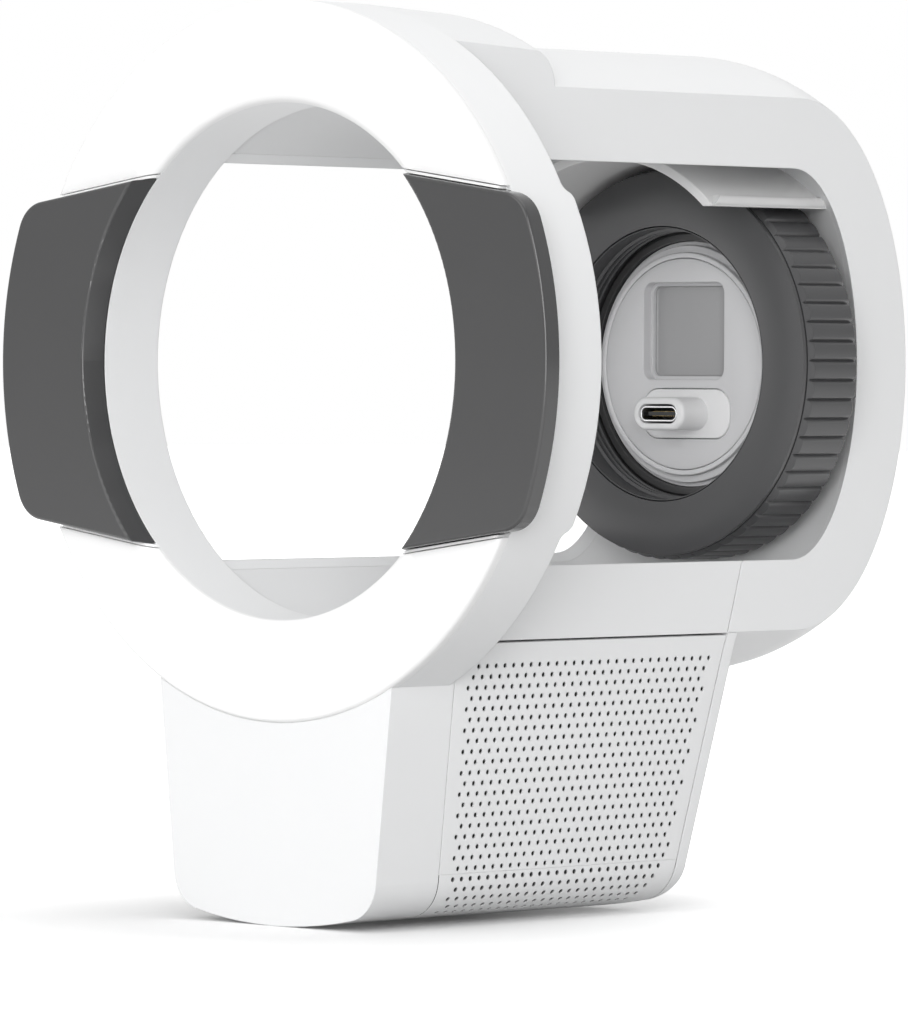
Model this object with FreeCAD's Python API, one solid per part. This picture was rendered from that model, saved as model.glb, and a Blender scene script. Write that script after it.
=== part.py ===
import FreeCAD, Part
import math
import os

# Infrared illuminator that a bullet camera slides into: a lamp ring in front, a slab-sided frame
# with open sides behind it, a locking ring on the rear wall and a speaker foot below.
# Millimetres. X to the right seen from the front, Y backwards, Z up.
# Everything is drawn with Y = 0 at the front plane of the ring, on the optical axis.
# save() then moves it so that the origin lies in the middle of the camera bore.

V = FreeCAD.Vector
ORIGIN = V(0, 0, 0)
ALONG_X = V(1, 0, 0)
ALONG_Y = V(0, 1, 0)
ALONG_Z = V(0, 0, 1)
FAR = 200.0

# Lamp ring
BORE_R = 43.7
RING_WIDTH = 17.3
RING_DEPTH = 14.4
RING_WALL = 2.0
FACE_THICKNESS = 2.0
FACE_INNER_ROUND = 1.6
FACE_INNER_WIDTH = 2.3
FACE_OUTER_ROUND = 0.8
CHEEK_DEPTH = 1.9
CHEEK_HALF_HEIGHT = 26.6
CHEEK_BLEND = 3.0
CHEEK_STEP = 1.3
PANEL_GAP = 0.15

# Lamp windows, one on each side of the bore
WINDOW_OVERHANG = 5.0
WINDOW_PROUD = 2.1
WINDOW_LIP_DEPTH = 3.1
WINDOW_FLARE = 1.5
WINDOW_EDGE_AT_AXIS = 35.6
WINDOW_EDGE_SLOPE = 8.0
WINDOW_CORNER_R = 6.5
WINDOW_WALL = 1.6
WINDOW_EDGE_ROUND = 0.5
GASKET_THICKNESS = 0.5
GASKET_INSET = 0.2

# Lamps behind the windows, spread evenly between the margins at the board's two ends
LAMP_COUNT = 5
LAMP_END_DEG = 7.8
LAMP_SCREW_END_DEG = 1.8
LAMP_BOARD_FRONT = 5.0
BOARD_THICKNESS = 1.2
LAMP_SIZE = 2.8
LAMP_HEIGHT = 0.9
LAMP_DOME_R = 0.9
LAMP_MARGIN = 1.6
LAMP_OUTER_MARGIN = 0.6
LENS_GAP = 0.4
LENS_FRONT = 0.7
LENS_RIM = 0.6
LENS_WALL = 0.6
LENS_CLEARANCE = 0.12
LENS_HEAD_ROOM = 0.4

# Frame behind the ring
HALF_WIDTH = 28.9
FRAME_ROOM = 6.5
COLLAR_STEP = 0.8
COLLAR_LENGTH = 24.0
FRAME_WALL = 2.0
DOME_LEAD = 1.6
DOME_DEPTH = 33.6
PAD_R = 22.0
PAD_THICKNESS = 3.0

# Camera cavity and its liner
CAVITY_STEP = 1.2
CAVITY_BEND = 99.4
CAVITY_DOME = 22.25
FLOOR_MARGIN = 0.7
LINER_THICKNESS = 1.6
LINER_FIT = 0.05

# Split between the front housing and the rear frame, and the rear face of the foot.
# It runs down and forwards: three corners, each given ahead of the cavity's bend.
SEAM_TOP_LEAD = 12.9
SEAM_TOP_RISE = 12.4
SEAM_KNEE_LEAD = 17.2
SEAM_KNEE_DROP = 2.1
SEAM_TOE_LEAD = 25.0
SEAM_TOE_RISE = 7.9
SEAM_GAP = 0.3
REAR_STRIP = 2.4
REAR_CORNER_R = 9.0
ABOVE_SEAM = -20.0

# Foot
FOOT_CLEARANCE = 0.4
FOOT_HEIGHT = 48.5
FOOT_FRONT = 0.7
FOOT_TAPER = 6.15
FOOT_CORNER_R = 7.0
BAND_STEP = 1.1
BAND_WALL = 2.0
BAND_RISE = 2.9
BAND_ROOM_DROP = 3.1
SHADOW_GAP = 0.4
BEAM_FLANGE = 1.7
BEAM_FLANGE_INNER = 15.0

# Speaker grilles
GRILLE_THICKNESS = 1.5
PERFORATED_THICKNESS = 0.3
HOLE_R = 0.43
HOLE_PITCH = 2.12
ROW_PITCH = 1.81
FIRST_ROW = 4.3
CORNER_ROWS = 5
GRILLE_FRONT_MARGIN = 3.5
GRILLE_REAR_MARGIN = 3.0
CORNER_ROW_LEAN = 0.5
MESH_THICKNESS = 0.3
MESH_MARGIN = 1.5
MESH_FIT = 0.1

# Speaker box and drivers
BOX_INSET = 4.0
BOX_WALL = 1.8
BOX_FRONT_WALL = 5.0
BOX_DROP = 7.1
BOX_REAR_GAP = 0.2
DRIVER_Y = 46.0
DRIVER_ABOVE = 1.4
DRIVER_BELOW = 7.0
FLANGE_THICKNESS = 1.2
BASKET_STEP = 2.5
BASKET_DEPTH = 7.0
BASKET_WALL = 0.8
BASKET_FIT = 0.3
BASKET_FOOT_R = 9.5
BASKET_HOLE_R = 3.6
CONE_STEP = 4.3
CONE_SKIN = 0.35
CONE_FIT = 0.02
SURROUND_WIDTH = 2.4
SURROUND_RISE = 0.4
SURROUND_DEPTH = 0.5
DUST_CAP_R = 4.2
DUST_CAP_RISE = 1.2
COIL_R = 3.5
COIL_WALL = 0.3
MAGNET_R = 8.5
MAGNET_DEPTH = 5.0
DRIVER_SCREW_R = 0.5
DRIVER_SCREW_HEAD_R = 0.9
DRIVER_SCREW_HEAD = 0.5

# Main board on top of the speaker box
MAIN_BOARD_INSET = 7.9
MAIN_BOARD_GAP = 4.5
MAIN_BOARD_REAR_GAP = 10.2
MAIN_BOARD_LIFT = 1.6
MAIN_BOARD_CORNER_R = 2.0
POST_R = 2.2
POST_INSET = 4.0
PLUG_SOCKET_WIDTH = 6.0
PLUG_SOCKET_LENGTH = 4.0
PLUG_SOCKET_HEIGHT = 2.4
USB_SOCKET_WIDTH = 10.0
USB_SOCKET_LENGTH = 6.0
USB_SOCKET_HEIGHT = 2.6
# Chips as left edge in half widths of the board, width, front edge in lengths of the board,
# length and height
CHIPS = [(-0.524, 22.0, 0.115, 18.0, 2.4), (-0.429, 10.0, 0.577, 10.0, 1.4),
         (0.286, 6.0, 0.577, 8.0, 1.0)]
CAPACITOR_R = 2.0
CAPACITOR_HEIGHT = 3.0
CAPACITOR_SHARES_ACROSS = (0.429, 0.667)
CAPACITOR_SHARE = 0.846

# Hub and connector disc
HUB_R = 22.0
HUB_WALL = 1.8
RIM_STEP = 1.05
RIM_STEP_DEPTH = 1.0
DISC_RIM = 3.1
DISC_STANDOFF = 14.9
DISC_THICKNESS = 2.0
DISC_GAP = 0.15
DISC_LEDGE = 1.2
RECESS_WIDTH = 19.5
RECESS_BOTTOM = -2.8
RECESS_MARGIN = 4.3
RECESS_DEPTH = 3.6
RECESS_R = 2.0
RECESS_WALL = 1.0
DISC_BOARD_GAP = 0.7
DISC_BOARD_FIT = 0.3

# USB connector on the disc
PLUG_DROP = 6.1
PLUG_PLATE_WIDTH = 20.9
PLUG_PLATE_SHIFT = 0.8
PLUG_PLATE_HEIGHT = 8.8
PLUG_PLATE_R = 3.5
PLUG_PLATE_THICKNESS = 2.4
PLUG_PLATE_PROUD = 0.1
BOSS_WIDTH = 12.3
BOSS_HEIGHT = 5.9
BOSS_LENGTH = 6.6
BOSS_ROUND = 0.6
SHELL_WIDTH = 9.1
SHELL_HEIGHT = 3.2
SHELL_WALL = 0.3
SHELL_SET_BACK = 0.2
TONGUE_WIDTH = 6.6
TONGUE_THICKNESS = 0.7
TONGUE_ROUND = 0.2
TONGUE_SET_BACK = 1.0
TONGUE_BASE = 2.0
CONTACT_COUNT = 12
CONTACT_PITCH = 0.5
CONTACT_WIDTH = 0.24
CONTACT_HEIGHT = 0.08
CONTACT_SET_BACK = 0.6

# Locking ring on the rear wall, and the retainer on which it turns
WHEEL_RIM = 6.4
WHEEL_LENGTH = 13.5
WHEEL_STANDOFF = 7.4
WHEEL_RIDGES = 63
FIRST_RIDGE_DEG = -1.8
VALLEY_DEPTH = 0.6
VALLEY_SHARE = 0.24
RIDGE_CROWN = 0.15
RIDGE_LEAD = 2.3
WHEEL_WALL = 4.0
FACE_PLATE = 2.0
FACE_PLATE_STEP = 0.8
FACE_CHAMFER = 0.4
THREAD_GAP = 2.5
THREAD_RIDGE = 0.6
THREAD_PITCH = 2.0
RIDGE_SHARE = 0.6
INSERT_LENGTH = 6.2
SHOULDER_THICKNESS = 2.0
NECK_WALL = 4.3
FLANGE_STEP = 1.5
FLANGE_GAP = 0.8
RETAINER_FLANGE = 1.5
RETAINER_FIT = 0.05
WHEEL_PLAY = 0.3
RUNNING_FIT = 0.08
SEAL_THICKNESS = 1.3
SEAL_WIDTH = 1.3
SEAL_FIT = 0.1

# Hood over the locking ring
HOOD_GAP = 1.1
HOOD_THICKNESS = 1.7
HOOD_LEAD = 14.6
HOOD_DROP = 7.5
HOOD_SEAT = 0.05

# Screws
SCREW_R = 1.0
SCREW_HEAD_R = 2.0
SCREW_HEAD = 1.2
SCREW_CLEARANCE = 0.1
SCREW_END_ROOM = 0.3
SOCKET_R = 0.6
SOCKET_DEPTH = 0.6
HOUSING_SCREW_INSET = 4.6
HOUSING_SCREW_X = 20.0
HOUSING_SCREW_LENGTH = 10.0
SCREW_BOSS_R = 3.4
SCREW_BOSS_END = 2.0
BOX_SCREW_LENGTH = 6.0
BOX_SCREW_X = 15.0
BOX_SCREW_DROP = 5.0
BOX_SCREW_RISE = 11.4
REAR_SCREW_LENGTH = 9.0
REAR_SCREW_X = 13.0
REAR_SCREW_DROP = 23.1
REAR_SCREW_HEAD_ROOM = 0.3
REAR_BOSS_R = 3.0
REAR_BOSS_LENGTH = 8.0
RETAINER_SCREW_COUNT = 4
RETAINER_SCREW_LENGTH = 8.0
BOARD_SCREW_LENGTH = 4.0
LAMP_SCREW_R = 0.8
LAMP_SCREW_HEAD_R = 1.4
LAMP_SCREW_LENGTH = 5.0

# Leads and the openings that they pass
LEAD_R = 0.8
LEAD_X = 12.0
LEAD_LIFT = 1.0
LEAD_RUN = 7.5
# Route of a lamp lead in the ring: degrees below the right, distance outside the lamp circle, depth
LEAD_ROUTE = [(76.3, 1.7, 9.5), (68.4, -0.1, 9.0), (57.5, -1.0, 8.6), (47.8, -1.0, 8.2),
              (40.8, -0.3, 8.0), (36.0, 0.0, 7.8), (31.9, -1.85, 7.8)]
LEAD_SLOT_SIDE = 2.0
LEAD_SLOT_DROP = 3.5
USB_LEAD_R = 1.6
USB_LEAD_Z = -14.0
USB_LEAD_LIFT = 1.7
# Route of the USB lead behind the cavity: distance behind its floor, distance above the foot's top
USB_LEAD_ROUTE = [(5.0, 25.9), (3.5, 15.9), (-1.5, 6.9), (-9.0, 0.4), (-18.0, -2.8)]
USB_LEAD_DIP = 30.0
USB_LEAD_HOLE_R = 3.0
CABLE_WINDOW_SIDE = 14.0
CABLE_WINDOW_DROP = 9.0
CABLE_WINDOW_HEIGHT = 8.0

# Mount and cable gland on the rear pad
MOUNT_PCD = 30.0
MOUNT_HOLES = 3
MOUNT_HOLE_R = 1.65
INSERT_WALL = 1.1
INSERT_DEPTH = 7.0
INSERT_BOSS_WALL = 1.4
GLAND_R = 5.0
GLAND_BORE_R = 1.6
GLAND_FLANGE_R = 7.0
GLAND_FLANGE = 1.5

# Sizes that follow from those above
BORE_MIDDLE = (FACE_THICKNESS + RING_DEPTH) / 2
RING_R = BORE_R + RING_WIDTH
BAND_DEPTH = RING_DEPTH + BAND_STEP
CHEEK_INNER_R = BORE_R + CHEEK_STEP
WINDOW_R = RING_R + WINDOW_OVERHANG
WINDOW_SLOPE = math.tan(math.radians(WINDOW_EDGE_SLOPE))
WINDOW_COSINE = math.cos(math.radians(WINDOW_EDGE_SLOPE))
LAMP_ROOM_INNER_R = BORE_R + WINDOW_FLARE + WINDOW_WALL
LAMP_ROOM_OUTER_R = RING_R - WINDOW_WALL
LAMP_CIRCLE_R = (LAMP_ROOM_INNER_R + LAMP_ROOM_OUTER_R) / 2
LAMP_INSET = WINDOW_WALL + LAMP_MARGIN
LAMP_EDGE = math.asin((WINDOW_EDGE_AT_AXIS * WINDOW_COSINE - LAMP_INSET) / LAMP_CIRCLE_R)
LAMP_EDGE_DEG = math.degrees(LAMP_EDGE) - WINDOW_EDGE_SLOPE
LAMP_SPACING_DEG = 2 * (LAMP_EDGE_DEG - LAMP_END_DEG) / (LAMP_COUNT - 1)
LAMP_HALF_PITCH = LAMP_CIRCLE_R * math.sin(math.radians(LAMP_SPACING_DEG / 2))
LENS_R = min(LAMP_HALF_PITCH, (LAMP_ROOM_OUTER_R - LAMP_ROOM_INNER_R) / 2) - LENS_GAP
LENS_HOLLOW_R = LAMP_SIZE * math.sqrt(0.5) + LENS_CLEARANCE
LENS_HOLLOW_DEPTH = LAMP_HEIGHT + LAMP_DOME_R + LENS_HEAD_ROOM
COLLAR_R = RING_R - COLLAR_STEP
COLLAR_END = RING_DEPTH + COLLAR_LENGTH
CAVITY_R = BORE_R + CAVITY_STEP
FRAME_R = CAVITY_R + LINER_THICKNESS + FRAME_ROOM + FRAME_WALL
FOOT_TOP = -CAVITY_R - LINER_THICKNESS - FOOT_CLEARANCE
FOOT_BOTTOM_R = FOOT_HEIGHT - FOOT_TOP
SEAM_TOP = (CAVITY_BEND - SEAM_TOP_LEAD, FOOT_TOP + SEAM_TOP_RISE)
SEAM_KNEE = (CAVITY_BEND - SEAM_KNEE_LEAD, FOOT_TOP - SEAM_KNEE_DROP)
SEAM_TOE = (CAVITY_BEND - SEAM_TOE_LEAD, SEAM_TOE_RISE - FOOT_BOTTOM_R)
SHOULDER_R = HUB_R + NECK_WALL
FLOOR_R = SHOULDER_R + FLOOR_MARGIN
FLOOR_Y = CAVITY_BEND + CAVITY_DOME * math.sqrt(1 - (FLOOR_R / CAVITY_R) ** 2)
DOME_START = CAVITY_BEND + DOME_LEAD
PAD_Y = DOME_START + DOME_DEPTH * math.sqrt(1 - (PAD_R / FRAME_R) ** 2)
TAPER_SIN = math.sin(math.radians(FOOT_TAPER))
TAPER_COS = math.cos(math.radians(FOOT_TAPER))
BOX_TOP = FOOT_TOP - BOX_DROP
DRIVER_R = (FOOT_HEIGHT - BOX_DROP - DRIVER_ABOVE - DRIVER_BELOW) / 2
DRIVER_DROP = BOX_DROP + DRIVER_ABOVE + DRIVER_R
BASKET_R = DRIVER_R - BASKET_STEP
CONE_R = DRIVER_R - CONE_STEP
MAIN_BOARD_HALF_WIDTH = HALF_WIDTH - MAIN_BOARD_INSET
MAIN_BOARD_FRONT = BAND_DEPTH + MAIN_BOARD_GAP
MAIN_BOARD_REAR = SEAM_KNEE[0] - MAIN_BOARD_REAR_GAP
MAIN_BOARD_TOP = BOX_TOP + MAIN_BOARD_LIFT + BOARD_THICKNESS
LEAD_Z = MAIN_BOARD_TOP + LEAD_LIFT
WHEEL_REAR = FLOOR_Y - WHEEL_STANDOFF
WHEEL_FRONT = WHEEL_REAR - WHEEL_LENGTH
WHEEL_BORE_R = HUB_R + THREAD_GAP
FLANGE_R = SHOULDER_R + FLANGE_STEP
INSERT_R = FLANGE_R + FLANGE_GAP
WHEEL_R = INSERT_R + WHEEL_RIM
FACE_PLATE_R = WHEEL_R - FACE_PLATE_STEP
INSERT_FRONT = WHEEL_FRONT + FACE_PLATE
INSERT_REAR = INSERT_FRONT + INSERT_LENGTH
HOOD_INNER_R = WHEEL_R + HOOD_GAP
HOOD_OUTER_R = HOOD_INNER_R + HOOD_THICKNESS
HOOD_FRONT = WHEEL_FRONT - HOOD_LEAD
HOOD_CUT = WHEEL_R - HOOD_DROP
DISC_R = HUB_R - DISC_RIM
RECESS_TOP = DISC_R - RECESS_MARGIN
DISC_FRONT = FLOOR_Y - DISC_STANDOFF
DISC_BOARD_R = HUB_R - HUB_WALL - DISC_BOARD_FIT
DISC_BOARD_FRONT = DISC_FRONT + RECESS_DEPTH + RECESS_WALL + DISC_BOARD_GAP
PLUG_Z = RECESS_BOTTOM - PLUG_DROP
PLUG_FRONT = DISC_FRONT - PLUG_PLATE_PROUD
BOSS_TIP = PLUG_FRONT - BOSS_LENGTH
HOUSING_SCREW_CIRCLE_R = RING_R - HOUSING_SCREW_INSET


def save(node, *solids):
    """Writes one node, moved so that the origin is the middle of the camera bore."""
    shape = solids[0].copy() if len(solids) == 1 else Part.makeCompound(list(solids))
    shape.translate(V(0, -BORE_MIDDLE, 0))
    shape.exportStep("parts/" + node + ".step")


def box(x0, x1, y0, y1, z0, z1):
    return Part.makeBox(x1 - x0, y1 - y0, z1 - z0, V(x0, y0, z0))


def rod(radius, start, end):
    return Part.makeCylinder(radius, (end - start).Length, start, end - start)


def disc(radius, y0, y1, x=0.0, z=0.0):
    return rod(radius, V(x, y0, z), V(x, y1, z))


def tube(inner_r, outer_r, y0, y1):
    return disc(outer_r, y0, y1).cut(disc(inner_r, y0 - 1, y1 + 1))


def lines(points, closed=True):
    corners = points + points[:1] if closed else points
    return [Part.LineSegment(a, b).toShape() for a, b in zip(corners, corners[1:])]


def face_of(edges):
    return Part.Face(Part.Wire(edges))


def turned(edges):
    """Solid of revolution about Y from a closed outline in the plane Z = 0."""
    return face_of(edges).revolve(ORIGIN, ALONG_Y, 360)


def turned_points(points):
    return turned(lines([V(r, y, 0) for r, y in points]))


def rounded_edges(points, radii):
    """Closed outline through the points, with an arc of its own radius at each corner."""
    count = len(points)
    starts = []
    arcs = []
    for i, corner in enumerate(points):
        back = (points[i - 1] - corner).normalize()
        ahead = (points[(i + 1) % count] - corner).normalize()
        half = back.getAngle(ahead) / 2
        reach = radii[i] / math.tan(half)
        middle = (back + ahead).normalize() * (radii[i] / math.sin(half) - radii[i])
        starts.append((corner + back * reach, corner + ahead * reach))
        arcs.append(corner + middle)
    edges = []
    for i, (begin, end) in enumerate(starts):
        if radii[i] > 0:
            edges.append(Part.Arc(begin, arcs[i], end).toShape())
        following = starts[(i + 1) % count][0]
        if (following - end).Length > 1e-6:
            edges.append(Part.LineSegment(end, following).toShape())
    return edges


def rounded_plate(width, height, corner_r, y0, y1, x=0.0, z=0.0):
    """Rounded rectangle across the optical axis, from y0 to y1."""
    w = width / 2
    h = height / 2
    corners = [V(x - w, y0, z - h), V(x + w, y0, z - h), V(x + w, y0, z + h), V(x - w, y0, z + h)]
    return face_of(rounded_edges(corners, [corner_r] * 4)).extrude(V(0, y1 - y0, 0))


def stadium(width, height, y0, y1, z):
    return rounded_plate(width, height, height / 2 - 0.001, y0, y1, 0, z)


def mirrored(shape):
    return shape.mirror(ORIGIN, ALONG_X)


def bent_lead(radius, points, share=0.45):
    """Round lead of straight runs joined by tangent arcs."""
    runs = []
    last = points[0]
    for before, corner, after in zip(points, points[1:], points[2:]):
        back = before - corner
        ahead = after - corner
        reach = share * min(back.Length, ahead.Length)
        back.normalize()
        ahead.normalize()
        half = back.getAngle(ahead) / 2
        bend_r = reach * math.tan(half)
        middle = corner + (back + ahead).normalize() * (bend_r / math.sin(half) - bend_r)
        runs.append(Part.LineSegment(last, corner + back * reach).toShape())
        runs.append(Part.Arc(corner + back * reach, middle, corner + ahead * reach).toShape())
        last = corner + ahead * reach
    runs.append(Part.LineSegment(last, points[-1]).toShape())
    section = Part.Wire([Part.Circle(points[0], points[1] - points[0], radius).toShape()])
    return Part.Wire(runs).makePipeShell([section], True, False)


def screw(seat, direction, length, radius=SCREW_R, head_r=SCREW_HEAD_R):
    """Pan-head screw: its head stands on the seat and its shank runs along the direction."""
    way = V(direction).normalize()
    head = rod(head_r, seat - way * SCREW_HEAD, seat)
    shank = rod(radius, seat - way * 0.2, seat + way * length)
    socket = rod(SOCKET_R, seat - way * SCREW_HEAD, seat - way * (SCREW_HEAD - SOCKET_DEPTH))
    return head.fuse(shank).cut(socket).removeSplitter()


def screw_hole(seat, direction, length, radius=SCREW_R):
    way = V(direction).normalize()
    return rod(radius + SCREW_CLEARANCE, seat - way * 0.1, seat + way * (length + SCREW_END_ROOM))


def frame_solid(inset):
    """Collar, barrel and dome of the frame, turned about the optical axis."""
    radius = FRAME_R - inset
    bend = COLLAR_R - FRAME_R
    bend_y = COLLAR_END - inset - bend
    top = DOME_START + DOME_DEPTH - inset
    knee = math.sqrt(0.5) * bend
    edges = lines([V(radius, COLLAR_END - inset, 0), V(radius, DOME_START, 0)], closed=False)
    ellipse = Part.Ellipse(V(radius, DOME_START, 0), V(0, top, 0), V(0, DOME_START, 0))
    edges.append(Part.ArcOfEllipse(ellipse, 0, math.pi / 2).toShape())
    front = [V(0, top, 0), V(0, RING_DEPTH, 0), V(RING_R - inset, RING_DEPTH, 0),
             V(radius + bend, bend_y, 0)]
    edges += lines(front, closed=False)
    arc_middle = V(radius + knee, bend_y + knee, 0)
    edges.append(Part.Arc(front[-1], arc_middle, V(radius, COLLAR_END - inset, 0)).toShape())
    return turned(edges)


def cavity_solid(grow, start=RING_DEPTH):
    """Room for the camera: a barrel with a domed rear and a flat floor."""
    radius = CAVITY_R + grow
    rear = CAVITY_DOME + grow
    floor = FLOOR_Y + grow
    floor_r = radius * math.sqrt(1 - ((floor - CAVITY_BEND) / rear) ** 2)
    ellipse = Part.Ellipse(V(radius, CAVITY_BEND, 0), V(0, CAVITY_BEND + rear, 0), V(0, CAVITY_BEND, 0))
    dome = Part.ArcOfEllipse(ellipse, 0, math.asin((floor - CAVITY_BEND) / rear)).toShape()
    rest = [V(floor_r, floor, 0), V(0, floor, 0), V(0, start, 0), V(radius, start, 0),
            V(radius, CAVITY_BEND, 0)]
    return turned([dome] + lines(rest, closed=False))


def slab(half_width):
    return box(-half_width, half_width, -FAR, FAR, -FAR, FAR)


def side_prism(points):
    """Solid from an outline of (y, z) points, right through the part along X."""
    corners = [V(-FAR, y, z) for y, z in points]
    return face_of(lines(corners)).extrude(V(2 * FAR, 0, 0))


def seam_y(z, shift=0.0):
    """Depth of the split at height z, moved back by the shift."""
    upper, lower = (SEAM_TOP, SEAM_KNEE) if z > SEAM_KNEE[1] else (SEAM_KNEE, SEAM_TOE)
    slope = (upper[0] - lower[0]) / (upper[1] - lower[1])
    return lower[0] + slope * (z - lower[1]) + shift


def ahead_of_seam(shift, top):
    """Everything in front of the split, below the given height."""
    edge = [(seam_y(z, shift), z) for z in (top, SEAM_KNEE[1], -FAR)]
    return side_prism([(-FAR, top)] + edge + [(-FAR, -FAR)])


def foot_side(z):
    """Half width of the foot at height z."""
    return HALF_WIDTH - max(FOOT_TOP - z, 0) * TAPER_SIN / TAPER_COS


def foot_solid(inset, top, y0=FOOT_FRONT, y1=FAR):
    """The foot, drawn in by the inset all round, from y0 to y1 or to its rear face."""
    side = inset / TAPER_COS
    below = -FOOT_BOTTOM_R - 5
    half = [(foot_side(z) - side, z) for z in (top, min(top, FOOT_TOP) - 0.01, below)]
    outline = [V(x, y0, z) for x, z in half] + [V(-x, y0, z) for x, z in reversed(half)]
    prism = face_of(lines(outline)).extrude(V(0, y1 - y0, 0))
    solid = prism.common(disc(FOOT_BOTTOM_R - inset, y0 - 1, y1 + 1))
    long_edges = [e for e in solid.Edges if is_bottom_corner(e)]
    solid = solid.makeFillet(FOOT_CORNER_R - inset, long_edges)
    return solid.common(foot_outline(inset, y0))


def is_bottom_corner(edge):
    ends = [vertex.Point for vertex in edge.Vertexes]
    along_y = abs(ends[0].x - ends[-1].x) < 0.01 and abs(ends[0].z - ends[-1].z) < 0.01
    return along_y and ends[0].z < (FOOT_TOP - FOOT_BOTTOM_R) / 2


def foot_outline(inset, y0):
    """Side view of the foot: its rear face leans forward and meets the bottom in a round corner."""
    shift = REAR_STRIP - inset
    bottom = -FOOT_BOTTOM_R + inset
    top = ABOVE_SEAM
    points = [V(-FAR, y0, top), V(-FAR, y0, bottom - 0.001), V(-FAR, seam_y(bottom, shift), bottom - 0.001)]
    points += [V(-FAR, seam_y(SEAM_KNEE[1], shift), SEAM_KNEE[1]), V(-FAR, seam_y(top, shift), top)]
    edges = rounded_edges(points, [0, 0, REAR_CORNER_R - inset, 0, 0])
    return face_of(edges).extrude(V(2 * FAR, 0, 0))


def wing(inset, y0, y1, inner_r, outer_r, corner_r=0.0):
    """Right-hand sector of the ring between the two sloping edges of a lamp window."""
    edge = WINDOW_EDGE_AT_AXIS - inset / WINDOW_COSINE
    near = BORE_R / 2
    away = WINDOW_R + BORE_R / 2
    top = edge - near * WINDOW_SLOPE
    tip = edge - away * WINDOW_SLOPE
    corners = [V(near, y0, -top), V(away, y0, -tip), V(away, y0, tip), V(near, y0, top)]
    prism = face_of(lines(corners)).extrude(V(0, y1 - y0, 0))
    solid = prism.common(tube(inner_r, outer_r, y0, y1))
    if corner_r > 0:
        solid = solid.makeFillet(corner_r, [e for e in solid.Edges if is_outer_corner(e, outer_r)])
    return solid


def is_outer_corner(edge, outer_r):
    ends = [vertex.Point for vertex in edge.Vertexes]
    along_y = abs(ends[0].x - ends[-1].x) < 0.01 and abs(ends[0].z - ends[-1].z) < 0.01
    return along_y and abs(math.hypot(ends[0].x, ends[0].z) - outer_r) < 0.05


def window_blank(inset):
    """Outer form of a lamp window, with its proud face, lip and flared inner wall."""
    front = -WINDOW_PROUD
    skirt_end = FACE_THICKNESS - GASKET_THICKNESS
    inner_r = BORE_R + 0.01
    plate = wing(inset, front, front + WINDOW_LIP_DEPTH, inner_r, WINDOW_R - inset, WINDOW_CORNER_R)
    skirt = wing(inset, front + 1, skirt_end, inner_r, RING_R - 0.01)
    flare_end = FACE_INNER_ROUND
    mouth_r = BORE_R + WINDOW_FLARE * (flare_end - front + 1) / (flare_end - front)
    flare = turned_points([(0, front - 1), (mouth_r, front - 1), (BORE_R, flare_end),
                           (BORE_R, RING_DEPTH), (0, RING_DEPTH)])
    return plate.fuse(skirt).cut(flare)


def make_windows():
    front = -WINDOW_PROUD
    blank = window_blank(0)
    edges = [e for e in blank.Edges if abs(e.BoundBox.YMax - front) < 0.01]
    rounded = blank.makeFillet(WINDOW_EDGE_ROUND, edges)
    room = wing(WINDOW_WALL, front + WINDOW_WALL, RING_DEPTH, LAMP_ROOM_INNER_R, LAMP_ROOM_OUTER_R)
    window = rounded.cut(room).removeSplitter()
    skirt_end = FACE_THICKNESS - GASKET_THICKNESS
    seat = wing(0, skirt_end, FACE_THICKNESS, BORE_R + GASKET_INSET, RING_R - GASKET_INSET)
    gasket = seat.cut(wing(WINDOW_WALL, 0, RING_DEPTH, BORE_R + RING_WALL, RING_R - RING_WALL))
    save("right_ir_window", window)
    save("left_ir_window", mirrored(window))
    save("right_window_gasket", gasket)
    save("left_window_gasket", mirrored(gasket))


def lamp_places():
    middle = (LAMP_COUNT - 1) / 2
    angles = [math.radians((i - middle) * LAMP_SPACING_DEG) for i in range(LAMP_COUNT)]
    return [(LAMP_CIRCLE_R * math.cos(a), LAMP_CIRCLE_R * math.sin(a)) for a in angles]


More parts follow.
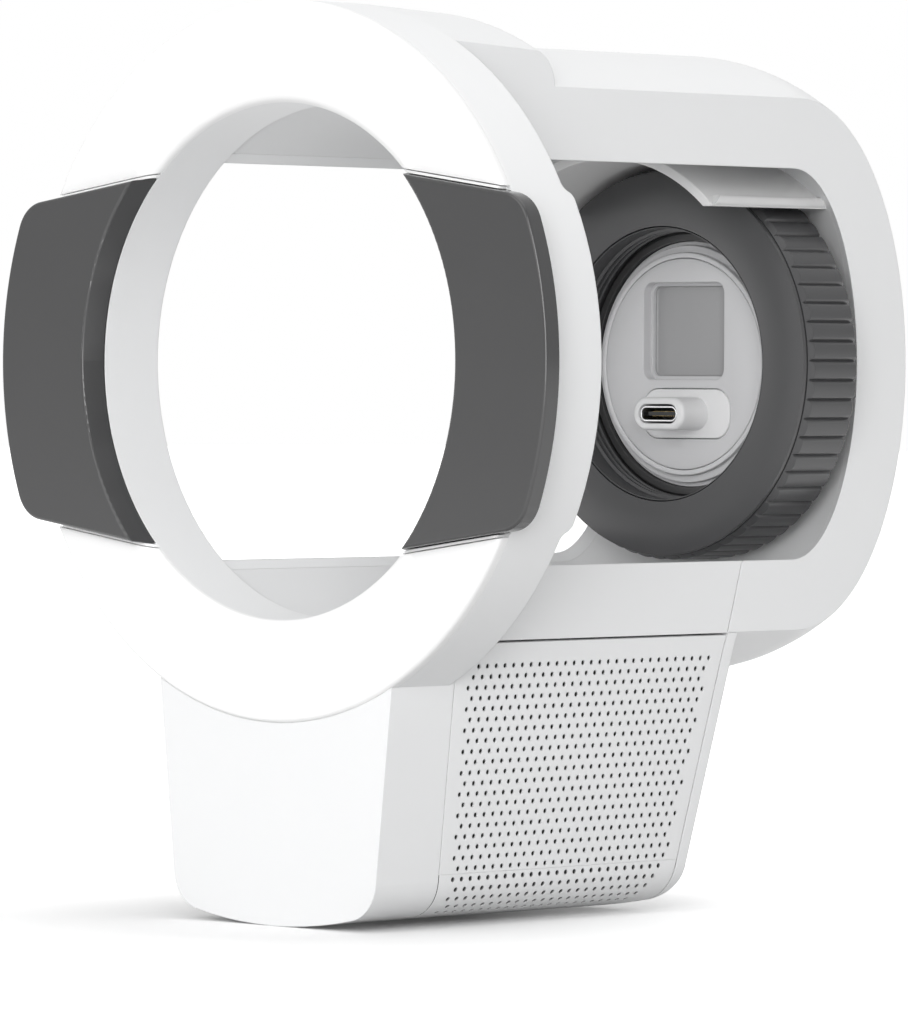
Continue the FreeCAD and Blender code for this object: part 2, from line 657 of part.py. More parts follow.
def make_lamps():
    rear = LAMP_BOARD_FRONT + BOARD_THICKNESS
    back_wall = RING_DEPTH - RING_WALL
    inner_r = BORE_R + RING_WALL + LAMP_MARGIN
    outer_r = RING_R - RING_WALL - LAMP_OUTER_MARGIN
    board = wing(LAMP_INSET, LAMP_BOARD_FRONT, rear, inner_r, outer_r)
    spreader = wing(LAMP_INSET, rear, back_wall, inner_r, outer_r)
    screws = []
    screw_turn = math.radians(LAMP_EDGE_DEG - LAMP_SCREW_END_DEG)
    for side in (-1, 1):
        z = side * LAMP_CIRCLE_R * math.sin(screw_turn)
        seat = V(LAMP_CIRCLE_R * math.cos(screw_turn), LAMP_BOARD_FRONT, z)
        hole = screw_hole(seat, ALONG_Y, LAMP_SCREW_LENGTH, LAMP_SCREW_R)
        board = board.cut(hole)
        spreader = spreader.cut(hole)
        screws.append(screw(seat, ALONG_Y, LAMP_SCREW_LENGTH, LAMP_SCREW_R, LAMP_SCREW_HEAD_R))
    lamps = []
    lenses = []
    for x, z in lamp_places():
        half = LAMP_SIZE / 2
        base = box(x - half, x + half, LAMP_BOARD_FRONT - LAMP_HEIGHT, LAMP_BOARD_FRONT, z - half, z + half)
        dome = Part.makeSphere(LAMP_DOME_R, V(x, LAMP_BOARD_FRONT - LAMP_HEIGHT, z))
        lamps.append(base.fuse(dome))
        cup = Part.makeCone(LENS_R, LENS_HOLLOW_R + LENS_WALL, LAMP_BOARD_FRONT - LENS_FRONT - LENS_RIM,
                            V(x, LENS_FRONT + LENS_RIM, z), ALONG_Y)
        rim = disc(LENS_R, LENS_FRONT, LENS_FRONT + LENS_RIM, x, z)
        hollow = disc(LENS_HOLLOW_R, LAMP_BOARD_FRONT - LENS_HOLLOW_DEPTH, LAMP_BOARD_FRONT + 1, x, z)
        lenses.append(cup.fuse(rim).cut(hollow).removeSplitter())
    for side, turn in (("right", Part.Shape.copy), ("left", mirrored)):
        save(side + "_ir_board", turn(board))
        save(side + "_heat_spreader", turn(spreader))
        save(side + "_ir_lamps", *[turn(lamp) for lamp in lamps])
        save(side + "_lamp_lenses", *[turn(lens) for lens in lenses])
        save(side + "_lamp_screws", *[turn(s) for s in screws])


def make_ring_faces():
    inner = FACE_INNER_ROUND
    outer = FACE_OUTER_ROUND
    knee = 1 - math.sqrt(0.5)
    mouth_r = BORE_R + FACE_INNER_WIDTH
    edges = lines([V(mouth_r, 0, 0), V(RING_R - outer, 0, 0)], closed=False)
    edges.append(Part.Arc(V(RING_R - outer, 0, 0), V(RING_R - outer * knee, outer * knee, 0),
                          V(RING_R, outer, 0)).toShape())
    rear = [V(RING_R, outer, 0), V(RING_R, FACE_THICKNESS, 0), V(BORE_R, FACE_THICKNESS, 0),
            V(BORE_R, inner, 0)]
    edges += lines(rear, closed=False)
    oval = Part.Ellipse(V(BORE_R, inner, 0), V(mouth_r, 0, 0), V(mouth_r, inner, 0))
    edges.append(Part.ArcOfEllipse(oval, 0, math.pi / 2).toShape())
    ring = turned(edges)
    notch = wing(-PANEL_GAP, -1, FACE_THICKNESS + 1, BORE_R - 1, WINDOW_R)
    halves = ring.cut(notch).cut(mirrored(notch)).Solids
    halves.sort(key=lambda solid: solid.CenterOfMass.z)
    save("upper_ring_face", halves[1])
    save("lower_ring_face", halves[0])


def housing_screw_seats():
    """Where screws join the ring to the frame, on the ring's back wall."""
    z = math.sqrt(HOUSING_SCREW_CIRCLE_R ** 2 - HOUSING_SCREW_X ** 2)
    return [V(x, RING_DEPTH - RING_WALL, z) for x in (-HOUSING_SCREW_X, HOUSING_SCREW_X)]


def box_screw_seats():
    """Where screws join the speaker box to the foot's band."""
    rows = (-RING_R - BOX_SCREW_DROP, BOX_SCREW_RISE - FOOT_BOTTOM_R)
    return [V(x, BAND_DEPTH - BAND_WALL, z) for x in (-BOX_SCREW_X, BOX_SCREW_X) for z in rows]


def lead_slots():
    """Openings in the ring's back wall through which the lamp leads pass."""
    side = LEAD_SLOT_SIDE
    slot = box(LEAD_X - side, LEAD_X + side, RING_DEPTH - RING_WALL - 1, RING_DEPTH + 1,
               LEAD_Z - LEAD_SLOT_DROP, LEAD_Z + side)
    return [slot, mirrored(slot)]


def cheek_block():
    """Outline of a cheek seen from the side: it rises from the ring's back in a soft double curve."""
    rise = CHEEK_DEPTH / 2
    run = CHEEK_BLEND / 2
    bend_r = (rise ** 2 + run ** 2) / (2 * rise)
    half_turn = math.atan(rise / run)
    along = bend_r * math.sin(half_turn)
    across = bend_r - bend_r * math.cos(half_turn)
    foot = V(HALF_WIDTH, RING_DEPTH, CHEEK_HALF_HEIGHT + CHEEK_BLEND)
    middle = foot + V(0, rise, -run)
    crown = middle + V(0, rise, -run)
    edges = [Part.Arc(foot, foot + V(0, across, -along), middle).toShape(),
             Part.Arc(middle, crown + V(0, -across, along), crown).toShape()]
    below = [V(p.x, p.y, -p.z) for p in (crown, middle, foot)]
    edges.append(Part.LineSegment(crown, below[0]).toShape())
    edges.append(Part.Arc(below[0], below[0] + V(0, -across, -along), below[1]).toShape())
    edges.append(Part.Arc(below[1], below[2] + V(0, across, along), below[2]).toShape())
    front = [below[2], below[2] - V(0, 1, 0), foot - V(0, 1, 0), foot]
    edges += lines(front, closed=False)
    return face_of(edges).extrude(V(FAR, 0, 0))


def make_front_housing():
    shell = tube(BORE_R, RING_R, FACE_THICKNESS, RING_DEPTH)
    sector = tube(CHEEK_INNER_R, RING_R, RING_DEPTH - 1, RING_DEPTH + CHEEK_DEPTH)
    cheek = sector.common(cheek_block())
    band = foot_solid(0, FOOT_TOP + BAND_RISE, y1=BAND_DEPTH)
    band = band.cut(disc(RING_R, -1, FACE_THICKNESS)).cut(disc(BORE_R + RING_WALL, -1, BAND_DEPTH + 1))
    shell = shell.fuse([cheek, mirrored(cheek), band])
    shell = shell.cut(tube(BORE_R + RING_WALL, RING_R - RING_WALL, -1, RING_DEPTH - RING_WALL))
    hollow_top = FOOT_TOP - BAND_ROOM_DROP
    hollow = foot_solid(BAND_WALL, hollow_top, FOOT_FRONT + BAND_WALL, BAND_DEPTH - BAND_WALL)
    shell = shell.cut(hollow.cut(disc(RING_R, -1, BAND_DEPTH + 1)))
    shell = shell.cut(cavity_solid(LINER_THICKNESS + LINER_FIT, RING_DEPTH))
    shell = shell.cut(tube(0, RING_R, RING_DEPTH, BAND_DEPTH + 1).common(slab(HALF_WIDTH - FRAME_WALL)))
    tools = lead_slots()
    tools += [screw_hole(seat, ALONG_Y, HOUSING_SCREW_LENGTH) for seat in housing_screw_seats()]
    tools += [screw_hole(seat, ALONG_Y, BOX_SCREW_LENGTH) for seat in box_screw_seats()]
    window_top = -RING_R - CABLE_WINDOW_DROP
    tools.append(box(-CABLE_WINDOW_SIDE, CABLE_WINDOW_SIDE, BAND_DEPTH - BAND_WALL - 1, BAND_DEPTH + 1,
                     window_top - CABLE_WINDOW_HEIGHT, window_top))
    shell = shell.fuse(lower_beam()).cut(tools).removeSplitter()
    save("front_housing", *shell.Solids)


def lower_beam():
    """Side walls and flanges between the camera cavity and the foot."""
    inner = HALF_WIDTH - FRAME_WALL
    wall = box(inner, HALF_WIDTH, RING_DEPTH, FAR, FOOT_TOP, ABOVE_SEAM).cut(cavity_solid(0, RING_DEPTH - 1))
    flange = box(BEAM_FLANGE_INNER, inner, RING_DEPTH, FAR, FOOT_TOP, FOOT_TOP + BEAM_FLANGE)
    flange = flange.cut(cavity_solid(LINER_THICKNESS + LINER_FIT))
    side = wall.fuse(flange).common(ahead_of_seam(-SEAM_GAP, ABOVE_SEAM))
    return side.fuse(mirrored(side))


def make_rear_frame():
    shell = frame_solid(0).common(slab(HALF_WIDTH))
    shell = shell.cut(box(-FAR, FAR, PAD_Y, FAR, -FAR, FAR))
    hollow = frame_solid(FRAME_WALL).common(slab(HALF_WIDTH - FRAME_WALL))
    hollow = hollow.cut(box(-FAR, FAR, PAD_Y - PAD_THICKNESS, FAR, -FAR, FAR))
    front = ahead_of_seam(0, ABOVE_SEAM)
    strip = foot_solid(0, FOOT_TOP).cut(front)
    shell = shell.cut(front).fuse(strip)
    shell = shell.cut(hollow).cut(cavity_solid(0, 0))
    boss_end = HOUSING_SCREW_LENGTH + SCREW_BOSS_END
    bosses = [rod(SCREW_BOSS_R, V(seat.x, RING_DEPTH, seat.z), seat + V(0, boss_end, 0))
              for seat in housing_screw_seats()]
    within = frame_solid(FRAME_WALL / 2).cut(cavity_solid(LINER_THICKNESS + LINER_FIT))
    shell = shell.fuse([boss.common(within) for boss in bosses])
    tools = [screw_hole(seat, ALONG_Y, HOUSING_SCREW_LENGTH) for seat in housing_screw_seats()]
    tools += [rod(MOUNT_HOLE_R + INSERT_WALL, place, V(place.x, PAD_Y + 1, place.z))
              for place in mount_places()]
    tools.append(disc(GLAND_R, PAD_Y - PAD_THICKNESS - 1, PAD_Y + 1))
    boss_r = MOUNT_HOLE_R + INSERT_WALL + INSERT_BOSS_WALL
    bosses = [rod(boss_r, place, V(place.x, PAD_Y, place.z)) for place in mount_places()]
    shell = shell.fuse(bosses).cut(tools)
    tools = [screw_hole(seat, -rear_normal(), REAR_SCREW_LENGTH) for seat in rear_screw_seats()]
    head_r = SCREW_HEAD_R + REAR_SCREW_HEAD_ROOM
    tools += [rod(head_r, seat, seat + rear_normal() * REAR_STRIP) for seat in rear_screw_seats()]
    shell = shell.cut(tools).removeSplitter()
    save("rear_frame", *shell.Solids)


def rear_normal():
    """Outward direction of the foot's rear face."""
    run = SEAM_KNEE[0] - SEAM_TOE[0]
    rise = SEAM_KNEE[1] - SEAM_TOE[1]
    return V(0, rise, -run).normalize()


def rear_screw_seats():
    """Seats of the screws that hold the rear frame to the speaker box, sunk in its rear face."""
    z = FOOT_TOP - REAR_SCREW_DROP
    sunk = V(0, seam_y(z, REAR_STRIP), z) - rear_normal() * SCREW_HEAD
    return [sunk + V(x, 0, 0) for x in (-REAR_SCREW_X, REAR_SCREW_X)]


def mount_places():
    turns = [math.radians(90 + 360 * i / MOUNT_HOLES) for i in range(MOUNT_HOLES)]
    radius = MOUNT_PCD / 2
    return [V(radius * math.cos(a), PAD_Y - INSERT_DEPTH, radius * math.sin(a)) for a in turns]


def make_rear_mount():
    inserts = [rod(MOUNT_HOLE_R + INSERT_WALL, place, V(place.x, PAD_Y, place.z))
               .cut(rod(MOUNT_HOLE_R, place - V(0, 1, 0), V(place.x, PAD_Y + 1, place.z)))
               for place in mount_places()]
    gland = disc(GLAND_R, PAD_Y - PAD_THICKNESS, PAD_Y)
    gland = gland.fuse(disc(GLAND_FLANGE_R, PAD_Y - PAD_THICKNESS - GLAND_FLANGE, PAD_Y - PAD_THICKNESS))
    gland = gland.cut(disc(GLAND_BORE_R, PAD_Y - INSERT_DEPTH, PAD_Y + 1)).removeSplitter()
    save("mount_inserts", *inserts)
    save("cable_gland", gland)


def make_liner():
    shell = cavity_solid(LINER_THICKNESS).cut(cavity_solid(0, 0))
    shell = shell.common(slab(HALF_WIDTH - FRAME_WALL))
    shell = shell.cut([screw_hole(seat, -ALONG_Y, RETAINER_SCREW_LENGTH) for seat in retainer_screw_seats()])
    save("cavity_liner", shell.cut(disc(USB_LEAD_HOLE_R, FLOOR_Y - 1, PAD_Y, 0, USB_LEAD_Z)))


def retainer_screw_seats():
    radius = (HUB_R + SHOULDER_R) / 2
    step = 2 * math.pi / RETAINER_SCREW_COUNT
    turns = [(i + 0.5) * step for i in range(RETAINER_SCREW_COUNT)]
    return [V(radius * math.cos(a), FLOOR_Y + LINER_THICKNESS, radius * math.sin(a)) for a in turns]


def make_hood():
    """Curved shield over the locking ring, standing on the rear wall of the cavity."""
    radii = [HOOD_INNER_R, HOOD_OUTER_R]
    ends = [CAVITY_BEND + CAVITY_DOME * math.sqrt(1 - (r / CAVITY_R) ** 2) - HOOD_SEAT for r in radii]
    shell = turned_points([(radii[0], HOOD_FRONT), (radii[1], HOOD_FRONT),
                           (radii[1], ends[1]), (radii[0], ends[0])])
    save("ring_hood", shell.common(box(-FAR, FAR, 0, FAR, HOOD_CUT, FAR)))


def ridged_prism(y0, y1):
    """Grip of the locking ring: broad crowned ridges between narrow round valleys."""
    step = 2 * math.pi / WHEEL_RIDGES
    valley = step * VALLEY_SHARE
    first = math.radians(FIRST_RIDGE_DEG) - (step + valley) / 2
    shoulder = WHEEL_R - RIDGE_CROWN
    edges = []
    for i in range(WHEEL_RIDGES):
        turns = [0, valley / 2, valley, (step + valley) / 2, step]
        radii = [shoulder, WHEEL_R - VALLEY_DEPTH, shoulder, WHEEL_R, shoulder]
        start = first + i * step
        p = [V(r * math.cos(start + a), y0, r * math.sin(start + a)) for r, a in zip(radii, turns)]
        edges.append(Part.Arc(p[0], p[1], p[2]).toShape())
        edges.append(Part.Arc(p[2], p[3], p[4]).toShape())
    return face_of(edges).extrude(V(0, y1 - y0, 0))


def make_locking_ring():
    flange_front = INSERT_REAR + WHEEL_PLAY
    flange_rear = flange_front + RETAINER_FLANGE
    shoulder = flange_rear + WHEEL_PLAY
    shoulder_end = shoulder + SHOULDER_THICKNESS
    body = ridged_prism(INSERT_FRONT, WHEEL_REAR)
    far_r = 2 * WHEEL_R
    slope = FACE_PLATE_STEP / RIDGE_LEAD
    body = body.common(turned_points([(0, INSERT_FRONT), (FACE_PLATE_R, INSERT_FRONT),
                                      (far_r, INSERT_FRONT + (far_r - FACE_PLATE_R) / slope),
                                      (far_r, FAR), (0, FAR)]))
    body = body.cut(disc(INSERT_R, INSERT_FRONT - 1, shoulder))
    body = body.cut(disc(SHOULDER_R, shoulder - 1, shoulder_end + 1))
    body = body.cut(disc(WHEEL_R - WHEEL_WALL, shoulder_end, WHEEL_REAR + 1))
    plate = tube(WHEEL_BORE_R, FACE_PLATE_R, WHEEL_FRONT, INSERT_FRONT)
    front = [e for e in plate.Edges if abs(e.BoundBox.YMax - WHEEL_FRONT) < 0.01]
    corner = [e for e in front if e.BoundBox.XMax > FACE_PLATE_R - 1]
    plate = plate.makeChamfer(FACE_CHAMFER, corner)
    insert = tube(WHEEL_BORE_R, INSERT_R, INSERT_FRONT, INSERT_REAR)
    ridges = []
    half = THREAD_PITCH * RIDGE_SHARE / 2
    root = WHEEL_BORE_R + THREAD_RIDGE / 3
    crest = WHEEL_BORE_R - THREAD_RIDGE
    for i in range(int(INSERT_LENGTH / THREAD_PITCH)):
        y = INSERT_FRONT + (i + 0.5) * THREAD_PITCH
        ridges.append(turned_points([(root, y - half), (root, y + half),
                                     (crest, y + half / 3), (crest, y - half / 3)]))
    save("locking_ring", body)
    save("locking_ring_face", plate)
    save("thread_insert", insert.fuse(ridges).removeSplitter())

    bore = HUB_R + RETAINER_FIT
    flange = tube(bore, FLANGE_R, flange_front, flange_rear)
    neck = tube(bore, SHOULDER_R - RUNNING_FIT, flange_rear - RETAINER_FLANGE / 2, FLOOR_Y)
    retainer = flange.fuse(neck).removeSplitter()
    seats = retainer_screw_seats()
    retainer = retainer.cut([screw_hole(seat, -ALONG_Y, RETAINER_SCREW_LENGTH) for seat in seats])
    seal_r = HUB_R + SEAL_FIT
    seal = tube(seal_r, seal_r + SEAL_WIDTH, flange_front - SEAL_THICKNESS, flange_front)
    save("ring_retainer", retainer)
    save("hub_seal", seal)
    save("retainer_screws", *[screw(seat, -ALONG_Y, RETAINER_SCREW_LENGTH) for seat in seats])


def make_hub():
    """White boss on the rear wall, with a stepped rim round the connector disc."""
    step = RIM_STEP
    deep = RIM_STEP_DEPTH
    pocket = DISC_R + DISC_GAP
    inner = HUB_R - HUB_WALL
    ledge = pocket - DISC_LEDGE
    rear_of_disc = DISC_FRONT + DISC_THICKNESS
    hub = turned_points([(pocket, DISC_FRONT), (HUB_R - 2 * step, DISC_FRONT),
                         (HUB_R - 2 * step, DISC_FRONT + deep), (HUB_R - step, DISC_FRONT + deep),
                         (HUB_R - step, DISC_FRONT + 2 * deep), (HUB_R, DISC_FRONT + 2 * deep),
                         (HUB_R, FLOOR_Y), (inner, FLOOR_Y), (inner, rear_of_disc + 2 * deep),
                         (ledge, rear_of_disc + deep), (ledge, rear_of_disc), (pocket, rear_of_disc)])
    save("hub", hub)

    middle = (RECESS_TOP + RECESS_BOTTOM) / 2
    height = RECESS_TOP - RECESS_BOTTOM
    rear = DISC_FRONT + RECESS_DEPTH
    plate = disc(DISC_R, DISC_FRONT, rear_of_disc)
    tub = rounded_plate(RECESS_WIDTH + 2 * RECESS_WALL, height + 2 * RECESS_WALL, RECESS_R + RECESS_WALL,
                        DISC_FRONT + DISC_THICKNESS / 2, rear + RECESS_WALL, 0, middle)
    tub = tub.common(disc(ledge - DISC_GAP, DISC_FRONT, DISC_BOARD_FRONT))
    recess = rounded_plate(RECESS_WIDTH, height, RECESS_R, DISC_FRONT - 1, rear, 0, middle)
    slot = rounded_plate(PLUG_PLATE_WIDTH + 2 * DISC_GAP, PLUG_PLATE_HEIGHT + 2 * DISC_GAP,
                         PLUG_PLATE_R + DISC_GAP, DISC_FRONT - 1, DISC_BOARD_FRONT, PLUG_PLATE_SHIFT, PLUG_Z)
    save("connector_disc", plate.fuse(tub).cut([recess, slot]).removeSplitter())


def make_connector():
    rear = PLUG_FRONT + PLUG_PLATE_THICKNESS
    plate = rounded_plate(PLUG_PLATE_WIDTH, PLUG_PLATE_HEIGHT, PLUG_PLATE_R, PLUG_FRONT, rear,
                          PLUG_PLATE_SHIFT, PLUG_Z)
    boss = stadium(BOSS_WIDTH, BOSS_HEIGHT, BOSS_TIP, rear, PLUG_Z)
    boss = boss.makeFillet(BOSS_ROUND, [e for e in boss.Edges if abs(e.BoundBox.YMax - BOSS_TIP) < 0.01])
    tunnel = stadium(SHELL_WIDTH, SHELL_HEIGHT, BOSS_TIP - 1, rear + 1, PLUG_Z)
    save("plug_plate", plate.fuse(boss).cut(tunnel).removeSplitter())

    mouth = BOSS_TIP + SHELL_SET_BACK
    shell = stadium(SHELL_WIDTH, SHELL_HEIGHT, mouth, DISC_BOARD_FRONT, PLUG_Z)
    room_width = SHELL_WIDTH - 2 * SHELL_WALL
    room_height = SHELL_HEIGHT - 2 * SHELL_WALL
    shell = shell.cut(stadium(room_width, room_height, mouth - 1, DISC_BOARD_FRONT + 1, PLUG_Z))
    save("usb_shell", shell)

    base_front = rear - TONGUE_BASE
    tongue_front = mouth + TONGUE_SET_BACK
    tongue = rounded_plate(TONGUE_WIDTH, TONGUE_THICKNESS, TONGUE_ROUND, tongue_front, rear, 0, PLUG_Z)
    base = stadium(room_width, room_height, base_front, DISC_BOARD_FRONT, PLUG_Z)
    half = CONTACT_WIDTH / 2
    contacts = []
    for z in (PLUG_Z - TONGUE_THICKNESS / 2 - CONTACT_HEIGHT, PLUG_Z + TONGUE_THICKNESS / 2):
        for i in range(CONTACT_COUNT):
            x = (i - (CONTACT_COUNT - 1) / 2) * CONTACT_PITCH
            contacts.append(box(x - half, x + half, tongue_front + CONTACT_SET_BACK, base_front,
                                z, z + CONTACT_HEIGHT))
    save("usb_tongue", tongue.fuse(base).removeSplitter())
    save("usb_contacts", *contacts)

    board_rear = DISC_BOARD_FRONT + BOARD_THICKNESS
    save("connector_board", disc(DISC_BOARD_R, DISC_BOARD_FRONT, board_rear))


def side_point(y, drop, out=0.0):
    """Point on the right side of the foot: depth, distance down the side, and outwards."""
    x = HALF_WIDTH - drop * TAPER_SIN + out * TAPER_COS
    return V(x, y, FOOT_TOP - drop * TAPER_COS - out * TAPER_SIN)


def flat_length():
    """Distance down the side of the foot to where its round bottom corner begins."""
    x = HALF_WIDTH - FOOT_CORNER_R * TAPER_COS
    z = FOOT_TOP + FOOT_CORNER_R * TAPER_SIN
    along = x * TAPER_SIN + z * TAPER_COS
    reach = FOOT_BOTTOM_R - FOOT_CORNER_R
    return along + math.sqrt(along ** 2 - x ** 2 - z ** 2 + reach ** 2)


def flat_rows():
    return int((flat_length() - FIRST_ROW) / ROW_PITCH)


def grille_row(row):
    """Depths of the holes in one row, in step with the leaning rear edge."""
    z = FOOT_TOP - FIRST_ROW - row * ROW_PITCH
    start = BAND_DEPTH + GRILLE_FRONT_MARGIN + (HOLE_PITCH / 2 if row % 2 else 0)
    end = seam_y(z, -GRILLE_REAR_MARGIN)
    if z < SEAM_TOE[1]:
        end -= CORNER_ROW_LEAN * (SEAM_TOE[1] - z)
    return [start + i * HOLE_PITCH for i in range(int((end - start) / HOLE_PITCH) + 1)]


def corner_middle():
    """Centre of the round bottom corner, as half width and height."""
    touch = side_point(0, flat_length())
    return touch.x - FOOT_CORNER_R * TAPER_COS, touch.z + FOOT_CORNER_R * TAPER_SIN


def perforated_field(front, top, last_drop, inset):
    """Face over the thin perforated part of a grille, on the inner side of its skin."""
    drops = [top + MESH_MARGIN + inset, last_drop - inset]
    deep = -PERFORATED_THICKNESS
    back = -SEAM_GAP - MESH_MARGIN - inset
    corners = [side_point(front + MESH_MARGIN + inset, d, deep) for d in drops]
    corners += [side_point(seam_y(side_point(0, d).z, back), d, deep) for d in reversed(drops)]
    return face_of(lines(corners))


def make_grilles():
    normal = side_point(0, 0, 1) - side_point(0, 0)
    last_drop = FIRST_ROW + (flat_rows() - 0.5) * ROW_PITCH
    top = SHADOW_GAP
    front = BAND_DEPTH + PANEL_GAP
    drops = [top, (FOOT_TOP - SEAM_KNEE[1]) / TAPER_COS, last_drop]
    corners = [side_point(front, top), side_point(front, last_drop)]
    corners += [side_point(seam_y(side_point(0, d).z, -SEAM_GAP), d) for d in reversed(drops)]
    wires = [Part.Wire(lines(corners))]
    for row in range(flat_rows()):
        for y in grille_row(row):
            centre = side_point(y, FIRST_ROW + row * ROW_PITCH)
            wires.append(Part.Wire([Part.Circle(centre, normal, HOLE_R).toShape()]))
    sheet = Part.makeFace(Part.makeCompound(wires), "Part::FaceMakerCheese")
    pocket = perforated_field(front, top, last_drop, 0).extrude(normal * -GRILLE_THICKNESS)
    plate = sheet.extrude(normal * -GRILLE_THICKNESS).cut(pocket)
    save("right_grille", plate)
    save("left_grille", mirrored(plate))
    mesh = perforated_field(front, top, last_drop, MESH_FIT).extrude(normal * -MESH_THICKNESS)
    save("right_grille_mesh", mesh)
    save("left_grille_mesh", mirrored(mesh))
    make_foot_base(last_drop, front)


def make_foot_base(last_drop, front):
    """Bottom panel of the foot, with the last rows of holes in its round corners."""
    base = foot_solid(0, BOX_TOP, front)
    base = base.cut(foot_solid(GRILLE_THICKNESS, BOX_TOP + 1, front - 1))
    base = base.common(ahead_of_seam(-SEAM_GAP, ABOVE_SEAM))
    deep = FOOT_CORNER_R
    above = [side_point(0, last_drop, deep), side_point(0, last_drop, -deep),
             side_point(0, 0, -deep), side_point(0, 0, deep)]
    panel_room = face_of(lines(above)).extrude(V(0, FAR, 0))
    base = base.cut([panel_room, mirrored(panel_room)])
    centre_x, centre_z = corner_middle()
    drills = []
    for row in range(flat_rows(), flat_rows() + CORNER_ROWS):
        beyond = FIRST_ROW + row * ROW_PITCH - flat_length()
        turn = math.radians(FOOT_TAPER) + max(beyond, 0) / FOOT_CORNER_R
        way = V(math.cos(turn), 0, -math.sin(turn))
        lift = V(0, 0, -min(beyond, 0))
        for y in grille_row(row):
            start = V(centre_x, y, centre_z) + lift + way * (FOOT_CORNER_R - 2 * GRILLE_THICKNESS)
            drills.append(rod(HOLE_R, start, start + way * 3 * GRILLE_THICKNESS))
    drills += [mirrored(drill) for drill in drills]
    base = base.cut(Part.makeCompound(drills))
    save("foot_base", base)


def make_speaker_box():
    outer = foot_solid(BOX_INSET, BOX_TOP, BAND_DEPTH).common(ahead_of_seam(-BOX_REAR_GAP, ABOVE_SEAM))
    room = foot_solid(BOX_INSET + BOX_WALL, BOX_TOP - BOX_WALL, BAND_DEPTH + BOX_FRONT_WALL)
    room = room.common(ahead_of_seam(-BOX_REAR_GAP - BOX_WALL, ABOVE_SEAM))
    shell = outer.cut(room)
    boss = rear_normal() * (REAR_STRIP + REAR_BOSS_LENGTH)
    bosses = [rod(REAR_BOSS_R, seat, seat - boss).common(outer) for seat in rear_screw_seats()]
    shell = shell.fuse(bosses)
    posts = [rod(POST_R, V(p.x, p.y, BOX_TOP - 1), p) for p in board_posts()]
    shell = shell.fuse(posts)
    opening = rod(BASKET_R + BASKET_FIT, side_point(DRIVER_Y, DRIVER_DROP, -BOX_INSET - BASKET_DEPTH),
                  side_point(DRIVER_Y, DRIVER_DROP, 1))
    tools = [opening, mirrored(opening)]
    tools += [screw_hole(seat, ALONG_Y, BOX_SCREW_LENGTH) for seat in box_screw_seats()]
    tools += [screw_hole(seat, -rear_normal(), REAR_SCREW_LENGTH) for seat in rear_screw_seats()]
    tools += [screw_hole(p, -ALONG_Z, BOARD_SCREW_LENGTH - BOARD_THICKNESS) for p in board_posts()]
    save("speaker_box", shell.cut(tools).removeSplitter())


def board_posts():
    xs = [x * (MAIN_BOARD_HALF_WIDTH - POST_INSET) for x in (-1, 1)]
    ys = [MAIN_BOARD_FRONT + POST_INSET, MAIN_BOARD_REAR - POST_INSET]
    return [V(x, y, BOX_TOP + MAIN_BOARD_LIFT) for x in xs for y in ys]


def on_side(shape):
    """Moves a piece drawn along X at the origin to the speaker's place on the right side."""
    moved = shape.copy()
    moved.rotate(ORIGIN, ALONG_Y, FOOT_TAPER)
    moved.translate(side_point(DRIVER_Y, DRIVER_DROP, -BOX_INSET))
    return moved


def turned_x(points):
    """Solid of revolution about X from (x, r) points."""
    return face_of(lines([V(x, r, 0) for x, r in points])).revolve(ORIGIN, ALONG_X, 360)


def make_drivers():
    wall = BASKET_WALL
    deep = -BASKET_DEPTH
    rim = FLANGE_THICKNESS
    frame = turned_x([(0, DRIVER_R), (rim, DRIVER_R), (rim, CONE_R), (0, CONE_R), (0, BASKET_R - wall),
                      (deep + wall, BASKET_FOOT_R - wall), (deep + wall, BASKET_HOLE_R),
                      (deep, BASKET_HOLE_R), (deep, BASKET_FOOT_R), (-0.01, BASKET_R), (0, BASKET_R)])
    magnet = turned_x([(deep, 0), (deep, MAGNET_R), (deep - MAGNET_DEPTH, MAGNET_R),
                       (deep - MAGNET_DEPTH, 0)])
    outer = CONE_R - CONE_FIT
    inner = outer - SURROUND_WIDTH
    cap = deep / 2
    under = cap - CONE_SKIN
    coil_end = deep + wall + BASKET_FIT
    cone = turned_x([(rim - SURROUND_DEPTH, outer), (rim, outer), (rim + SURROUND_RISE, (outer + inner) / 2),
                     (rim, inner), (cap, DUST_CAP_R), (cap + DUST_CAP_RISE, 0), (under + DUST_CAP_RISE, 0),
                     (under, COIL_R - COIL_WALL), (coil_end, COIL_R - COIL_WALL), (coil_end, COIL_R),
                     (under, COIL_R), (under, DUST_CAP_R), (rim - SURROUND_DEPTH, inner)])
    screws = []
    frame_holes = []
    radius = (DRIVER_R + BASKET_R) / 2
    for i in range(4):
        a = math.radians(45 + 90 * i)
        seat = V(rim, radius * math.cos(a), radius * math.sin(a))
        frame_holes.append(rod(DRIVER_SCREW_R + SCREW_CLEARANCE, seat, V(-1, seat.y, seat.z)))
        shank = rod(DRIVER_SCREW_R, seat, V(0, seat.y, seat.z))
        screws.append(shank.fuse(rod(DRIVER_SCREW_HEAD_R, seat, seat + V(DRIVER_SCREW_HEAD, 0, 0))))
    frame = frame.cut(frame_holes)
    for side, turn in (("right", Part.Shape.copy), ("left", mirrored)):
        save(side + "_speaker_frame", turn(on_side(frame)))
        save(side + "_speaker_magnet", turn(on_side(magnet)))
        save(side + "_speaker_cone", turn(on_side(cone)))
        save(side + "_speaker_screws", *[turn(on_side(s)) for s in screws])


